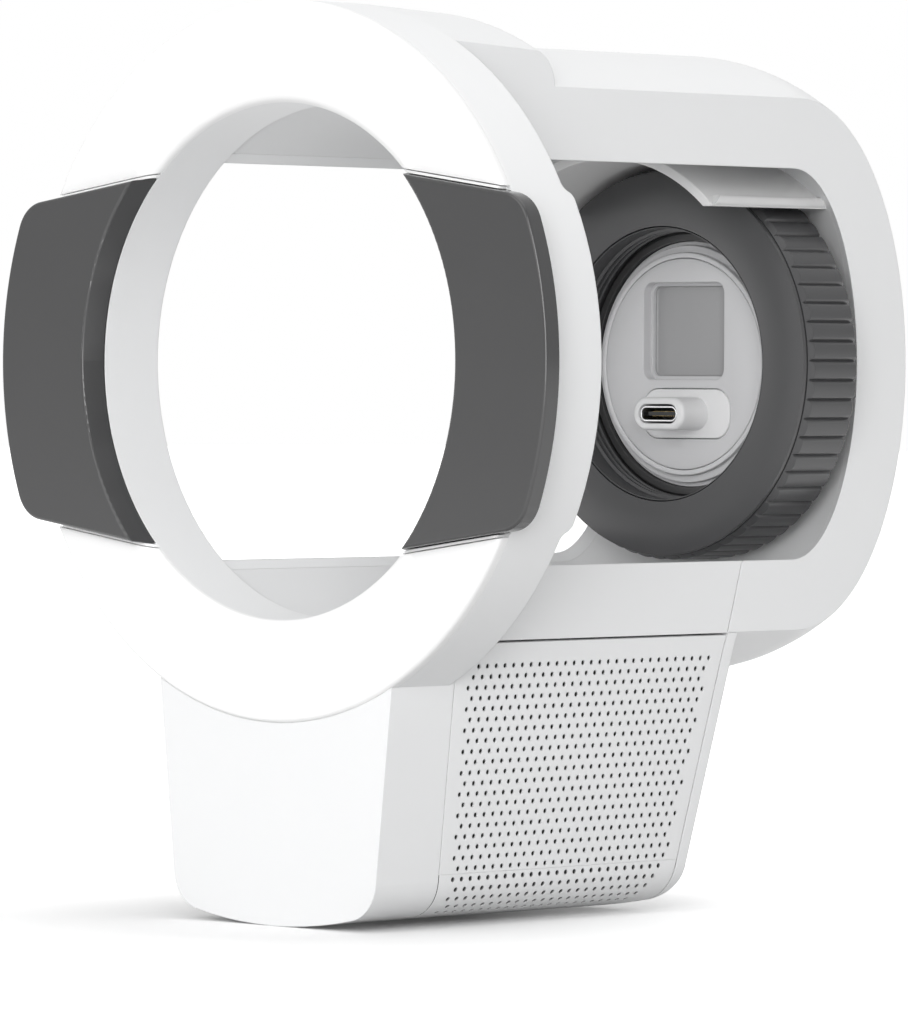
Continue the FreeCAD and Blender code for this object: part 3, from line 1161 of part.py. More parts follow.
def make_main_board():
    top = MAIN_BOARD_TOP
    bottom = top - BOARD_THICKNESS
    half = MAIN_BOARD_HALF_WIDTH
    corners = [V(-half, MAIN_BOARD_FRONT, bottom), V(half, MAIN_BOARD_FRONT, bottom),
               V(half, MAIN_BOARD_REAR, bottom), V(-half, MAIN_BOARD_REAR, bottom)]
    board = face_of(rounded_edges(corners, [MAIN_BOARD_CORNER_R] * 4)).extrude(V(0, 0, BOARD_THICKNESS))
    seats = [V(p.x, p.y, top) for p in board_posts()]
    board = board.cut([screw_hole(seat, -ALONG_Z, BOARD_THICKNESS) for seat in seats])
    front = MAIN_BOARD_FRONT
    rear = MAIN_BOARD_REAR
    parts = []
    for across, width, share, length, height in CHIPS:
        x = across * half
        y = front + share * (rear - front)
        parts.append(box(x, x + width, y, y + length, top, top + height))
    side = USB_SOCKET_WIDTH / 2
    parts.append(box(-side, side, rear - USB_SOCKET_LENGTH, rear, top, top + USB_SOCKET_HEIGHT))
    side = PLUG_SOCKET_WIDTH / 2
    parts += [box(x - side, x + side, front, front + PLUG_SOCKET_LENGTH, top, top + PLUG_SOCKET_HEIGHT)
              for x in (-LEAD_X, LEAD_X)]
    y = front + CAPACITOR_SHARE * (rear - front)
    places = [V(across * half, y, top) for across in CAPACITOR_SHARES_ACROSS]
    parts += [rod(CAPACITOR_R, place, place + V(0, 0, CAPACITOR_HEIGHT)) for place in places]
    save("main_board", board)
    save("board_parts", *parts)
    save("board_screws", *[screw(seat, -ALONG_Z, BOARD_SCREW_LENGTH) for seat in seats])


def make_leads():
    board_y = DISC_BOARD_FRONT + BOARD_THICKNESS
    usb_z = MAIN_BOARD_TOP + USB_LEAD_LIFT
    points = [V(0, board_y, USB_LEAD_Z), V(0, FLOOR_Y + USB_LEAD_ROUTE[1][0], USB_LEAD_Z)]
    points += [V(0, FLOOR_Y + behind, FOOT_TOP + above) for behind, above in USB_LEAD_ROUTE]
    points += [V(0, FLOOR_Y - USB_LEAD_DIP, usb_z), V(0, MAIN_BOARD_REAR, usb_z)]
    save("usb_lead", bent_lead(USB_LEAD_R, points))
    points = [V(LEAD_X, MAIN_BOARD_FRONT, LEAD_Z), V(LEAD_X, MAIN_BOARD_FRONT - LEAD_RUN, LEAD_Z)]
    for degrees, out, y in LEAD_ROUTE:
        turn = math.radians(degrees)
        radius = LAMP_CIRCLE_R + out
        points.append(V(radius * math.cos(turn), y, -radius * math.sin(turn)))
    lead = bent_lead(LEAD_R, points)
    save("right_lamp_lead", lead)
    save("left_lamp_lead", mirrored(lead))


def make_screws():
    save("housing_screws", *[screw(seat, ALONG_Y, HOUSING_SCREW_LENGTH) for seat in housing_screw_seats()])
    save("speaker_box_screws", *[screw(seat, ALONG_Y, BOX_SCREW_LENGTH) for seat in box_screw_seats()])
    save("rear_screws", *[screw(seat, -rear_normal(), REAR_SCREW_LENGTH) for seat in rear_screw_seats()])


def main():
    os.makedirs("parts", exist_ok=True)
    make_windows()
    make_lamps()
    make_ring_faces()
    make_front_housing()
    make_rear_frame()
    make_rear_mount()
    make_liner()
    make_hood()
    make_locking_ring()
    make_hub()
    make_connector()
    make_grilles()
    make_speaker_box()
    make_drivers()
    make_main_board()
    make_leads()
    make_screws()


main()
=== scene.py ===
import math

import bmesh
import bpy
from bmesh.types import BMEdge, BMFace, BMVert
from mathutils import Euler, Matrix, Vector


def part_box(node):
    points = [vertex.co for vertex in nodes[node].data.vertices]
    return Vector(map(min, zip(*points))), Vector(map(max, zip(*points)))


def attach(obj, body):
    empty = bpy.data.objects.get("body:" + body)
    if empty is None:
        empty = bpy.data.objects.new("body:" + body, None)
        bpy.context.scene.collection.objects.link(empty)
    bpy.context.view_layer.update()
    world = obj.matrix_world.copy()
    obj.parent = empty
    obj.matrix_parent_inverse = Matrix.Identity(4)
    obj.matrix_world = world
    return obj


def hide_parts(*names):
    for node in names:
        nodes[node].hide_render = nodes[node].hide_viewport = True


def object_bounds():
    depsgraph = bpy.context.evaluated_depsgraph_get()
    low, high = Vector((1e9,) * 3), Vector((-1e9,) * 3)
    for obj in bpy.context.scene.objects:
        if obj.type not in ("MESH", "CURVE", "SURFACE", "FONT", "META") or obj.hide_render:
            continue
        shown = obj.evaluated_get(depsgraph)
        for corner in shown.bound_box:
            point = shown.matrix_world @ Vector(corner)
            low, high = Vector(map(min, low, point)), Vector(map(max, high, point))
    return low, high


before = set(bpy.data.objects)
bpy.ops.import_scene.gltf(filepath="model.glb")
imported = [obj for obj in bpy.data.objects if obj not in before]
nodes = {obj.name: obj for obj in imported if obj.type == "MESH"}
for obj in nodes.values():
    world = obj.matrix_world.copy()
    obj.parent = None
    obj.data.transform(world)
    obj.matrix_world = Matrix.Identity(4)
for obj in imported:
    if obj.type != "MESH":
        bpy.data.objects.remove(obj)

cad_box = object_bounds()
scene = bpy.context.scene
scene.view_settings.view_transform = "Standard"

# Camera. The photograph looks past the ring's right-hand side at the open frame behind it, almost
# level, through a long lens, so that the ring and the foot hardly taper.
camera = bpy.data.objects.new("camera", bpy.data.cameras.new("camera"))
scene.collection.objects.link(camera)
camera.data.sensor_fit = "VERTICAL"
camera.data.sensor_height = 36.0
camera.data.lens = 246.48
camera.data.clip_end = 60.0
camera.location = (0.85132, -0.83011, -0.00265)
azimuth = math.radians(44.517)
elevation = math.radians(1.0966)
roll = math.radians(0.241)
level = Euler((math.pi / 2 - elevation, 0, azimuth)).to_matrix()
camera.rotation_euler = (level @ Euler((0, 0, roll)).to_matrix()).to_euler()
scene.camera = camera


# Light. A white room with one broad panel high in front, one above and a low one on the right, so
# that the faces towards the front are the palest and the open room inside falls off to grey.
def light_panel(name, place, towards, width, power):
    panel = bpy.data.lights.new(name, "AREA")
    panel.shape = "RECTANGLE"
    panel.size = width
    panel.size_y = width
    panel.energy = power
    lamp = bpy.data.objects.new(name, panel)
    lamp.location = place
    lamp.rotation_euler = (Vector(place) - Vector(towards)).to_track_quat("Z", "Y").to_euler()
    scene.collection.objects.link(lamp)


light_panel("front_panel", place=(-0.3, -1.35, 0.75), towards=(0, 0, 0), width=1.2, power=7.2)
light_panel("top_panel", place=(0.1, 0.1, 1.4), towards=(0, 0.05, 0), width=1.4, power=8.0)
light_panel("right_panel", place=(0.98, -1.08, 0.3), towards=(0, 0.05, 0), width=0.9, power=15.5)

# Room and floor. A white studio: what the camera sees behind the object is plain white, and the
# light that the walls give back is softer. The pale floor keeps the object's shadow and, farther
# out, glows until it is as white as the room.
SEEN_WHITE = 1.0
ROOM_LIGHT = 0.38
FLOOR_HALF_WIDTH = 6.0
FLOOR_PALE = 0.9
FLOOR_BOUNCE = 0.5
GLOW_NEAR = 0.05
GLOW_FAR = 1.0
GLOW_FROM = 0.1
GLOW_TO = 0.17

# Places of a mix node's sockets, which has its own pair for numbers and for colours.
FIRST_NUMBER = 2
SECOND_NUMBER = 3
FIRST_COLOUR = 6
SECOND_COLOUR = 7
MIXED_COLOUR = 2


def seen_directly(tree):
    """Socket that is 1 for what the camera sees, also by reflection or through clear plastic."""
    paths = tree.nodes.new("ShaderNodeLightPath")
    total = paths.outputs["Is Camera Ray"]
    for name in ("Is Glossy Ray", "Is Transmission Ray"):
        larger = tree.nodes.new("ShaderNodeMath")
        larger.operation = "MAXIMUM"
        tree.links.new(total, larger.inputs[0])
        tree.links.new(paths.outputs[name], larger.inputs[1])
        total = larger.outputs[0]
    return total


def seen_or_bounced(tree, seen, bounced, target):
    """Gives a socket one value for what the camera sees and another for the light that bounces."""
    choice = tree.nodes.new("ShaderNodeMix")
    choice.inputs[FIRST_NUMBER].default_value = bounced
    choice.inputs[SECOND_NUMBER].default_value = seen
    tree.links.new(seen_directly(tree), choice.inputs[0])
    tree.links.new(choice.outputs[0], target)


world = bpy.data.worlds.new("white_room")
scene.world = world
world.use_nodes = True
room_light = world.node_tree.nodes["Background"]
room_light.inputs["Color"].default_value = (1, 1, 1, 1)
seen_or_bounced(world.node_tree, SEEN_WHITE, ROOM_LIGHT, room_light.inputs["Strength"])

floor_mesh = bmesh.new()
bmesh.ops.create_grid(floor_mesh, x_segments=1, y_segments=1, size=FLOOR_HALF_WIDTH)
bmesh.ops.translate(floor_mesh, verts=floor_mesh.verts, vec=(0, 0, cad_box[0][2]))
floor_data = bpy.data.meshes.new("floor")
floor_mesh.to_mesh(floor_data)
floor_mesh.free()
floor = bpy.data.objects.new("floor", floor_data)
scene.collection.objects.link(floor)
floor_paint = bpy.data.materials.new("floor_paint")
floor_paint.use_nodes = True
floor_tree = floor_paint.node_tree
floor_skin = floor_tree.nodes["Principled BSDF"]
floor_skin.inputs["Roughness"].default_value = 0.7
seen_or_bounced(floor_tree, FLOOR_PALE, FLOOR_BOUNCE, floor_skin.inputs["Base Color"])
floor_skin.inputs["Emission Color"].default_value = (1, 1, 1, 1)
floor_place = floor_tree.nodes.new("ShaderNodeTexCoord")
distance = floor_tree.nodes.new("ShaderNodeVectorMath")
distance.operation = "LENGTH"
fade = floor_tree.nodes.new("ShaderNodeMapRange")
fade.inputs["From Min"].default_value = GLOW_FROM
fade.inputs["From Max"].default_value = GLOW_TO
fade.inputs["To Min"].default_value = GLOW_NEAR
fade.inputs["To Max"].default_value = GLOW_FAR
glow = floor_tree.nodes.new("ShaderNodeMath")
glow.operation = "MULTIPLY"
floor_tree.links.new(floor_place.outputs["Object"], distance.inputs[0])
floor_tree.links.new(distance.outputs["Value"], fade.inputs["Value"])
floor_tree.links.new(seen_directly(floor_tree), glow.inputs[0])
floor_tree.links.new(fade.outputs[0], glow.inputs[1])
floor_tree.links.new(glow.outputs[0], floor_skin.inputs["Emission Strength"])
floor_data.materials.append(floor_paint)

# Front housing, rear frame and grille panels. White injection-moulded shells with a fine
# spark-eroded skin: a grain of about 0.3 mm and a tone that drifts a little.
SHELL_WHITE = (0.84, 0.845, 0.85)
SHELL_ROUGHNESS = 0.42
ROUGHNESS_DRIFT = 0.04
GRAIN_DEPTH = 0.1


def new_finish(name):
    """Starts a material and returns it with its node tree, its surface and its place on the piece."""
    material = bpy.data.materials.new(name)
    material.use_nodes = True
    tree = material.node_tree
    place = tree.nodes.new("ShaderNodeTexCoord").outputs["Object"]
    return material, tree, tree.nodes["Principled BSDF"], place


def noise(tree, place, scale, detail, stretch=(1, 1, 1)):
    """Noise in object coordinates. It is longest in the direction whose share of stretch is least."""
    spread = tree.nodes.new("ShaderNodeMapping")
    spread.inputs["Scale"].default_value = stretch
    cloud = tree.nodes.new("ShaderNodeTexNoise")
    cloud.inputs["Scale"].default_value = scale
    cloud.inputs["Detail"].default_value = detail
    tree.links.new(place, spread.inputs["Vector"])
    tree.links.new(spread.outputs[0], cloud.inputs["Vector"])
    return cloud.outputs["Fac"]


def blend_colours(tree, amount, first, second, target):
    tint = tree.nodes.new("ShaderNodeMix")
    tint.data_type = "RGBA"
    tint.inputs[FIRST_COLOUR].default_value = (*first, 1)
    tint.inputs[SECOND_COLOUR].default_value = (*second, 1)
    tree.links.new(amount, tint.inputs[0])
    tree.links.new(tint.outputs[MIXED_COLOUR], target)


def vary(tree, amount, low, high, target):
    """Maps a 0 to 1 pattern onto a range of the given socket."""
    span = tree.nodes.new("ShaderNodeMapRange")
    span.inputs["To Min"].default_value = low
    span.inputs["To Max"].default_value = high
    tree.links.new(amount, span.inputs["Value"])
    tree.links.new(span.outputs[0], target)


def relief(tree, height, target, strength, depth_mm, round_mm=0.0):
    """Fine relief, laid over edges that are rounded by the given radius."""
    bump = tree.nodes.new("ShaderNodeBump")
    bump.inputs["Strength"].default_value = strength
    bump.inputs["Distance"].default_value = depth_mm / 1000
    tree.links.new(height, bump.inputs["Height"])
    tree.links.new(bump.outputs["Normal"], target)
    if round_mm > 0:
        rounding = tree.nodes.new("ShaderNodeBevel")
        rounding.samples = 6
        rounding.inputs["Radius"].default_value = round_mm / 1000
        tree.links.new(rounding.outputs["Normal"], bump.inputs["Normal"])


def moulded(name, colour, roughness, grain=0.05, grain_scale=3500.0, drift=0.015, round_mm=0.25):
    """Moulded plastic or rubber, with a fine grain and with a tone and a gloss that drift."""
    material, tree, skin, place = new_finish(name)
    cloud = noise(tree, place, scale=18.0, detail=3.0)
    darker = [c * (1 - drift) for c in colour]
    blend_colours(tree, cloud, darker, colour, skin.inputs["Base Color"])
    wear = noise(tree, place, scale=60.0, detail=2.0)
    vary(tree, wear, roughness - ROUGHNESS_DRIFT, roughness + ROUGHNESS_DRIFT, skin.inputs["Roughness"])
    speck = noise(tree, place, scale=grain_scale, detail=2.0)
    relief(tree, speck, skin.inputs["Normal"], strength=grain, depth_mm=GRAIN_DEPTH, round_mm=round_mm)
    return material


def finish_nodes(names, material):
    for name in names:
        nodes[name].data.materials.clear()
        nodes[name].data.materials.append(material)


housing_white = moulded("housing_white", SHELL_WHITE, SHELL_ROUGHNESS)
finish_nodes(["front_housing", "rear_frame", "left_grille", "right_grille"], housing_white)

# Foot base. The same white shell, thicker than the grilles in its round corners. The walls of the narrow
# holes there get painted shade: the deeper a wall lies in a hole, the darker its colour is painted.
HOLE_SHADE_REACH = 0.0009
SHADE_FROM = 0.35
SHADE_TO = 0.7
HOLE_PAINTED_SHADE_COLOUR = (0.01, 0.01, 0.01, 1)
base_white_painted_shade = moulded("base_white_painted_shade", SHELL_WHITE, SHELL_ROUGHNESS)
base_tree = base_white_painted_shade.node_tree
base_skin = base_tree.nodes["Principled BSDF"]
plain_tint = base_skin.inputs["Base Color"].links[0].from_socket
# Painted shade: where ambient occlusion within 0.9 mm finds a wall hemmed in, its colour is mixed towards
# near black.
openness = base_tree.nodes.new("ShaderNodeAmbientOcclusion")
openness.inputs["Distance"].default_value = HOLE_SHADE_REACH
share = base_tree.nodes.new("ShaderNodeMapRange")
share.inputs["From Min"].default_value = SHADE_FROM
share.inputs["From Max"].default_value = SHADE_TO
painted_hole_shade_mix = base_tree.nodes.new("ShaderNodeMix")
painted_hole_shade_mix.data_type = "RGBA"
painted_hole_shade_mix.inputs[FIRST_COLOUR].default_value = HOLE_PAINTED_SHADE_COLOUR
base_tree.links.new(openness.outputs["AO"], share.inputs["Value"])
base_tree.links.new(share.outputs[0], painted_hole_shade_mix.inputs[0])
base_tree.links.new(plain_tint, painted_hole_shade_mix.inputs[SECOND_COLOUR])
base_tree.links.new(painted_hole_shade_mix.outputs[MIXED_COLOUR], base_skin.inputs["Base Color"])
finish_nodes(["foot_base"], base_white_painted_shade)

# Lamp assemblies behind the windows. An aluminium heat spreader with milling marks, a green lamp
# board screwed to it, five lamps under clear lenses, and a rubber gasket round the opening.
MARK_SHADE = 0.82
MARK_POLISH = 0.07
MARK_DULLNESS = 0.1
CLOUD_SHADE = 0.94
CLOUD_DULLNESS = 0.05


def metal(name, colour, roughness, stretch=(1, 1, 1), lines=900.0, mark=0.12):
    """Bare or plated metal, with marks along the direction whose share of stretch is least."""
    material, tree, skin, place = new_finish(name)
    skin.inputs["Metallic"].default_value = 1.0
    marks = noise(tree, place, scale=lines, detail=3.0, stretch=stretch)
    duller = [c * MARK_SHADE for c in colour]
    blend_colours(tree, marks, duller, colour, skin.inputs["Base Color"])
    vary(tree, marks, roughness - MARK_POLISH, roughness + MARK_DULLNESS, skin.inputs["Roughness"])
    relief(tree, marks, skin.inputs["Normal"], strength=mark, depth_mm=0.05, round_mm=0.06)
    return material


def circuit_board(name, mask, track):
    """Solder mask over copper, whose tracks show as paler lines in two directions."""
    material, tree, skin, place = new_finish(name)
    skin.inputs["Roughness"].default_value = 0.35
    tracks = tree.nodes.new("ShaderNodeTexBrick")
    tracks.inputs["Scale"].default_value = 260.0
    tracks.inputs["Mortar Size"].default_value = 0.03
    tracks.inputs["Color1"].default_value = (0, 0, 0, 1)
    tracks.inputs["Color2"].default_value = (0.15, 0.15, 0.15, 1)
    tracks.inputs["Mortar"].default_value = (1, 1, 1, 1)
    tree.links.new(place, tracks.inputs["Vector"])
    blend_colours(tree, tracks.outputs["Color"], mask, track, skin.inputs["Base Color"])
    relief(tree, tracks.outputs["Color"], skin.inputs["Normal"], strength=0.3, depth_mm=0.05)
    return material


def clear_plastic(name, colour, roughness, clearness):
    material, tree, skin, place = new_finish(name)
    skin.inputs["Transmission Weight"].default_value = clearness
    skin.inputs["IOR"].default_value = 1.49
    cloud = noise(tree, place, scale=300.0, detail=2.0)
    darker = [c * CLOUD_SHADE for c in colour]
    blend_colours(tree, cloud, darker, colour, skin.inputs["Base Color"])
    vary(tree, cloud, roughness, roughness + CLOUD_DULLNESS, skin.inputs["Roughness"])
    return material


aluminium = metal("milled_aluminium", (0.7, 0.71, 0.72), 0.36, stretch=(0.05, 1, 1))
steel = metal("plated_steel", (0.62, 0.62, 0.63), 0.28)
board_green = circuit_board("board_green", (0.02, 0.12, 0.06), (0.06, 0.26, 0.12))
lamp_cap = clear_plastic("lamp_cap", (0.85, 0.82, 0.6), 0.12, 0.35)
lens_clear = clear_plastic("lens_clear", (0.93, 0.95, 0.96), 0.03, 0.9)
rubber = moulded("rubber", (0.035, 0.035, 0.036), 0.75, grain=0.12, grain_scale=1800.0, drift=0.1)
lead_sheath = moulded("lead_sheath", (0.1, 0.1, 0.1), 0.55, grain=0.06, grain_scale=900.0, round_mm=0.0)
for side in ("left", "right"):
    finish_nodes([side + "_heat_spreader"], aluminium)
    finish_nodes([side + "_ir_board"], board_green)
    finish_nodes([side + "_ir_lamps"], lamp_cap)
    finish_nodes([side + "_lamp_lenses"], lens_clear)
    finish_nodes([side + "_lamp_screws"], steel)
    finish_nodes([side + "_window_gasket"], rubber)
    finish_nodes([side + "_lamp_lead"], lead_sheath)

# Windows. Dark polycarbonate that passes infrared, polished on the outside so that its rounded
# front edge draws one thin bright line.
window_dark = moulded("window_dark", (0.044, 0.044, 0.045), 0.16, grain=0.004, drift=0.0, round_mm=0.0)
finish_nodes(["left_ir_window", "right_ir_window"], window_dark)

# Ring faces. Two thin moulded covers over the ring's screws, one above the windows and one below,
# with a wide soft edge towards the bore and a small one outside. A narrow trim of the same white
# lies between each cover and the windows.
MM = 0.001
SHARP_TURN = 0.5
CORNER_TURN = 1.0
SMOOTH_UP_TO = math.radians(35)
CUT_TOLERANCE = 0.0001
WELD_TOLERANCE = 0.001
BORE_R = 43.7
MOUTH_WIDTH = 2.3
MOUTH_DEPTH = 1.6
FACE_OUTER_ROUND = 0.8
COVER_EDGE_ROUND = 0.12
COVER_SWEEP = 72.0
COVER_STEPS = 96
WINDOW_EDGE_AT_AXIS = 35.6
PANEL_GAP = 0.15
TRIM_HEIGHT = 0.42
TRIM_SEAM = 0.2
TRIM_INSET = 0.9
EDGE_SLOPE = math.radians(8.0)


def lathe(outline, steps=240, turn_degrees=360.0, start_degrees=0.0):
    """Turns a closed outline of (radius, depth) points in millimetres about the optical axis."""
    mesh = bmesh.new()
    first = math.radians(start_degrees)
    corners = [mesh.verts.new((r * math.cos(first), y, r * math.sin(first))) for r, y in outline]
    edges = [mesh.edges.new(pair) for pair in zip(corners, corners[1:] + corners[:1])]
    whole = turn_degrees >= 360.0
    bmesh.ops.spin(mesh, geom=corners + edges, cent=(0, 0, 0), axis=(0, -1, 0),
                   angle=math.radians(turn_degrees), steps=steps, use_merge=whole)
    bmesh.ops.recalc_face_normals(mesh, faces=mesh.faces)
    return mesh


def round_edges(mesh, radius, segments=3, chosen=None):
    """Rounds the sharp edges of a closed mesh, or those of them that are chosen."""
    bmesh.ops.recalc_face_normals(mesh, faces=mesh.faces)
    sharp = [e for e in mesh.edges if len(e.link_faces) == 2 and e.calc_face_angle() > SHARP_TURN]
    if chosen:
        sharp = [e for e in sharp if chosen(e)]
    bmesh.ops.bevel(mesh, geom=sharp, offset=radius, offset_type="OFFSET", segments=segments,
                    profile=0.5, affect="EDGES", material=-1, clamp_overlap=True)


def add_piece(name, mesh, body, finishes, stands_for=()):
    """Makes a millimetre mesh into a piece that rides on a body in place of its solids."""
    bmesh.ops.recalc_face_normals(mesh, faces=mesh.faces)
    bmesh.ops.scale(mesh, vec=(MM, MM, MM), verts=mesh.verts)
    data = bpy.data.meshes.new(name)
    mesh.to_mesh(data)
    mesh.free()
    for finish in finishes:
        data.materials.append(finish)
    data.shade_smooth()
    data.set_sharp_from_angle(angle=SMOOTH_UP_TO)
    piece = bpy.data.objects.new(name, data)
    scene.collection.objects.link(piece)
    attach(piece, body)
    if stands_for:
        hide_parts(*stands_for)
    return piece


def box_mm(node):
    low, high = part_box(node)
    return [c * 1000 for c in low], [c * 1000 for c in high]


def everything(mesh):
    return mesh.verts[:] + mesh.edges[:] + mesh.faces[:]


def only(kind, parts):
    return [part for part in parts if isinstance(part, kind)]


def cut_at(mesh, height, kept_side):
    """Cuts a mesh by a plane at a height, keeps the given side and returns the edges of the cut."""
    cut = bmesh.ops.bisect_plane(mesh, geom=everything(mesh), dist=CUT_TOLERANCE, plane_co=(0, 0, height),
                                 plane_no=kept_side, clear_inner=True)
    return only(BMEdge, cut["geom_cut"])


def quarter(centre, reach, start, steps=8):
    """Points of a quarter oval about a centre, from the start angle on, a right angle onwards."""
    turns = [math.radians(start + 90 * i / steps) for i in range(steps + 1)]
    return [(centre[0] + reach[0] * math.cos(t), centre[1] + reach[1] * math.sin(t)) for t in turns]


face_low, face_high = box_mm("upper_ring_face")
face_front = face_low[1]
face_rear = face_high[1]
ring_r = face_high[2]


def cover_half(lower_edge, upper_edge, outer_r):
    """Right half of a cover: a turned sector, cut along one or two lines that slope as the window does."""
    outline = [(BORE_R, face_rear)]
    outline += quarter((BORE_R + MOUTH_WIDTH, face_front + MOUTH_DEPTH), (MOUTH_WIDTH, MOUTH_DEPTH), 180)
    outline += quarter((outer_r - FACE_OUTER_ROUND, face_front + FACE_OUTER_ROUND),
                       (FACE_OUTER_ROUND, FACE_OUTER_ROUND), 270)
    outline.append((outer_r, face_rear))
    mesh = lathe(outline, steps=COVER_STEPS, turn_degrees=COVER_SWEEP, start_degrees=90.0 - COVER_SWEEP)
    slope = Vector((math.sin(EDGE_SLOPE), 0, math.cos(EDGE_SLOPE)))
    for edge, kept_side in ((lower_edge, slope), (upper_edge, -slope)):
        if edge:
            bmesh.ops.edgeloop_fill(mesh, edges=cut_at(mesh, edge, kept_side))
    return mesh


face_white = moulded("face_white", (0.93, 0.93, 0.93), 0.35, grain=0.02, round_mm=0.0)
trim_low = WINDOW_EDGE_AT_AXIS + PANEL_GAP
trim_high = trim_low + TRIM_HEIGHT
for name, up in (("upper", 1), ("lower", -1)):
    cover = cover_half(trim_high + TRIM_SEAM, None, ring_r)
    trim = cover_half(trim_low, trim_high, ring_r - TRIM_INSET)
    for mesh in (cover, trim):
        bmesh.ops.mirror(mesh, geom=everything(mesh), axis="X", merge_dist=WELD_TOLERANCE)
        bmesh.ops.scale(mesh, vec=(1, 1, up), verts=mesh.verts)
    round_edges(cover, COVER_EDGE_ROUND, 2, lambda e: e.calc_face_angle() > CORNER_TURN)
    add_piece(name + "_ring_cover", cover, "frame", [face_white], [name + "_ring_face"])
    add_piece(name + "_window_trim", trim, "frame", [face_white])

# Liner and housing screws. The liner is the smooth moulded inside of the camera's room, ceiling,
# floor and rear wall in one. The two steel screws hold the ring to the frame.
liner_white = moulded("liner_white", (0.80, 0.805, 0.81), 0.5)
finish_nodes(["cavity_liner"], liner_white)
finish_nodes(["housing_screws"], steel)

# Hood. A thin curved shield over the locking ring, with a raised rounded lip along both lower edges.
# Its white is painted grey, as painted shade for the overhanging ceiling.
FLUSH = 0.01
HOOD_THICKNESS = 1.7
HOOD_REAR_SLANT = 1.0
HOOD_SWEEP = 120.0
HOOD_STEPS = 96
HOOD_FRONT_ROUND = 0.3
HOOD_EDGE_ROUND = 0.7
HOOD_EDGE_REACH = 0.05
HOOD_EDGE_LENGTH = 5
LIP_WIDTH = 2.3
LIP_HEIGHT = 2.05
LIP_X = 24.9
LIP_SLANT = 2.0
LIP_ROUND = 0.9
LIP_INSET = 0.02
LIP_OVERRUN = 0.4


def at_front(part, depth):
    """Whether an edge or a face lies at a depth or in front of it."""
    return all(v.co.y < depth + FLUSH for v in part.verts)


def length_in_depth(edge):
    return abs(edge.verts[0].co.y - edge.verts[1].co.y)


hood_low, hood_high = box_mm("ring_hood")
hood_front = hood_low[1]
hood_rear = hood_high[1]
hood_outer_r = hood_high[2]
hood_inner_r = hood_outer_r - HOOD_THICKNESS
hood_cut = hood_low[2]
hood = lathe([(hood_inner_r, hood_front), (hood_outer_r, hood_front),
              (hood_outer_r, hood_rear - HOOD_REAR_SLANT), (hood_inner_r, hood_rear)],
             steps=HOOD_STEPS, turn_degrees=HOOD_SWEEP, start_degrees=90.0 - HOOD_SWEEP / 2)
bmesh.ops.holes_fill(hood, edges=cut_at(hood, hood_cut, (0, 0, 1)))
round_edges(hood, HOOD_FRONT_ROUND, 3, lambda e: at_front(e, hood_front))
round_edges(hood, HOOD_EDGE_ROUND, 5, lambda e: all(v.co.z < hood_cut + HOOD_EDGE_REACH for v in e.verts)
            and length_in_depth(e) > HOOD_EDGE_LENGTH)
lip_front = hood_front + LIP_INSET
lip_rear = hood_rear + LIP_OVERRUN
lip_middle = hood_cut + LIP_HEIGHT / 2
for side in (-1, 1):
    lip = bmesh.ops.create_cube(hood, size=1.0)["verts"]
    bmesh.ops.scale(hood, vec=(LIP_WIDTH, lip_rear - lip_front, LIP_HEIGHT), verts=lip)
    bmesh.ops.translate(hood, vec=(side * LIP_X, (lip_front + lip_rear) / 2, lip_middle), verts=lip)
    front_top = [v for v in lip if v.co.y < lip_front + FLUSH and v.co.z > lip_middle]
    bmesh.ops.translate(hood, vec=(0, LIP_SLANT, 0), verts=front_top)
    long_edges = [e for e in hood.edges if e.verts[0] in lip and length_in_depth(e) > LIP_WIDTH]
    bmesh.ops.bevel(hood, geom=long_edges, offset=LIP_ROUND, offset_type="OFFSET", segments=6, profile=0.5,
                    affect="EDGES", material=-1)
# Painted shade: the hood's colour is a darker grey than the white shells, standing for the shadow under
# the ceiling.
hood_white_painted_shade = moulded("hood_white_painted_shade", (0.68, 0.68, 0.68), 0.4, grain=0.03, round_mm=0.0)
add_piece("ring_hood_shell", hood, "frame", [hood_white_painted_shade], ["ring_hood"])

# Hub. A moulded grey boss on the rear wall that carries the connector disc in its mouth. Its rim
# steps back twice round the disc.
DISC_GAP = 0.12
DISC_THICKNESS = 2.0
DISC_SEAT = 1.0
RIM_WIDTH = 1.05
RIM_DEPTH = 1.0
STEP_INSET = 0.75
HUB_WALL = 1.8
HUB_ROUND = 0.18
hub_low, hub_high = box_mm("hub")
disc_low, disc_high = box_mm("connector_disc")
hub_front = hub_low[1]
hub_rear = hub_high[1]
hub_r = hub_high[0]
disc_r = disc_high[0]
disc_back = hub_front + DISC_THICKNESS
rim_r = disc_r + RIM_WIDTH
step_r = hub_r - STEP_INSET
hub = lathe([(disc_r + DISC_GAP, hub_front), (rim_r, hub_front), (rim_r, hub_front + RIM_DEPTH),
             (step_r, hub_front + RIM_DEPTH), (step_r, hub_front + 2 * RIM_DEPTH),
             (hub_r, hub_front + 2 * RIM_DEPTH), (hub_r, hub_rear), (hub_r - HUB_WALL, hub_rear),
             (hub_r - HUB_WALL, disc_back + 2 * RIM_DEPTH), (disc_r - DISC_SEAT, disc_back + RIM_DEPTH),
             (disc_r - DISC_SEAT, disc_back), (disc_r + DISC_GAP, disc_back)])
round_edges(hub, HUB_ROUND)
hub_grey = moulded("hub_grey", (0.62, 0.62, 0.63), 0.45, grain=0.03, round_mm=0.0)
add_piece("hub_boss", hub, "frame", [hub_grey], ["hub"])

# Connector disc. A grey moulded plate with a deep recess for the block on the camera's tail, and
# below it an oval opening for the connector's own plate.
RECESS_WIDTH = 19.5
RECESS_BOTTOM = -2.8
RECESS_MARGIN = 4.3
RECESS_R = 2.0
RECESS_DEPTH = 3.6
PLUG_R = 3.5
PLUG_PLAY = 0.12
DISC_STEPS = 240
DISC_ROUND = 0.2


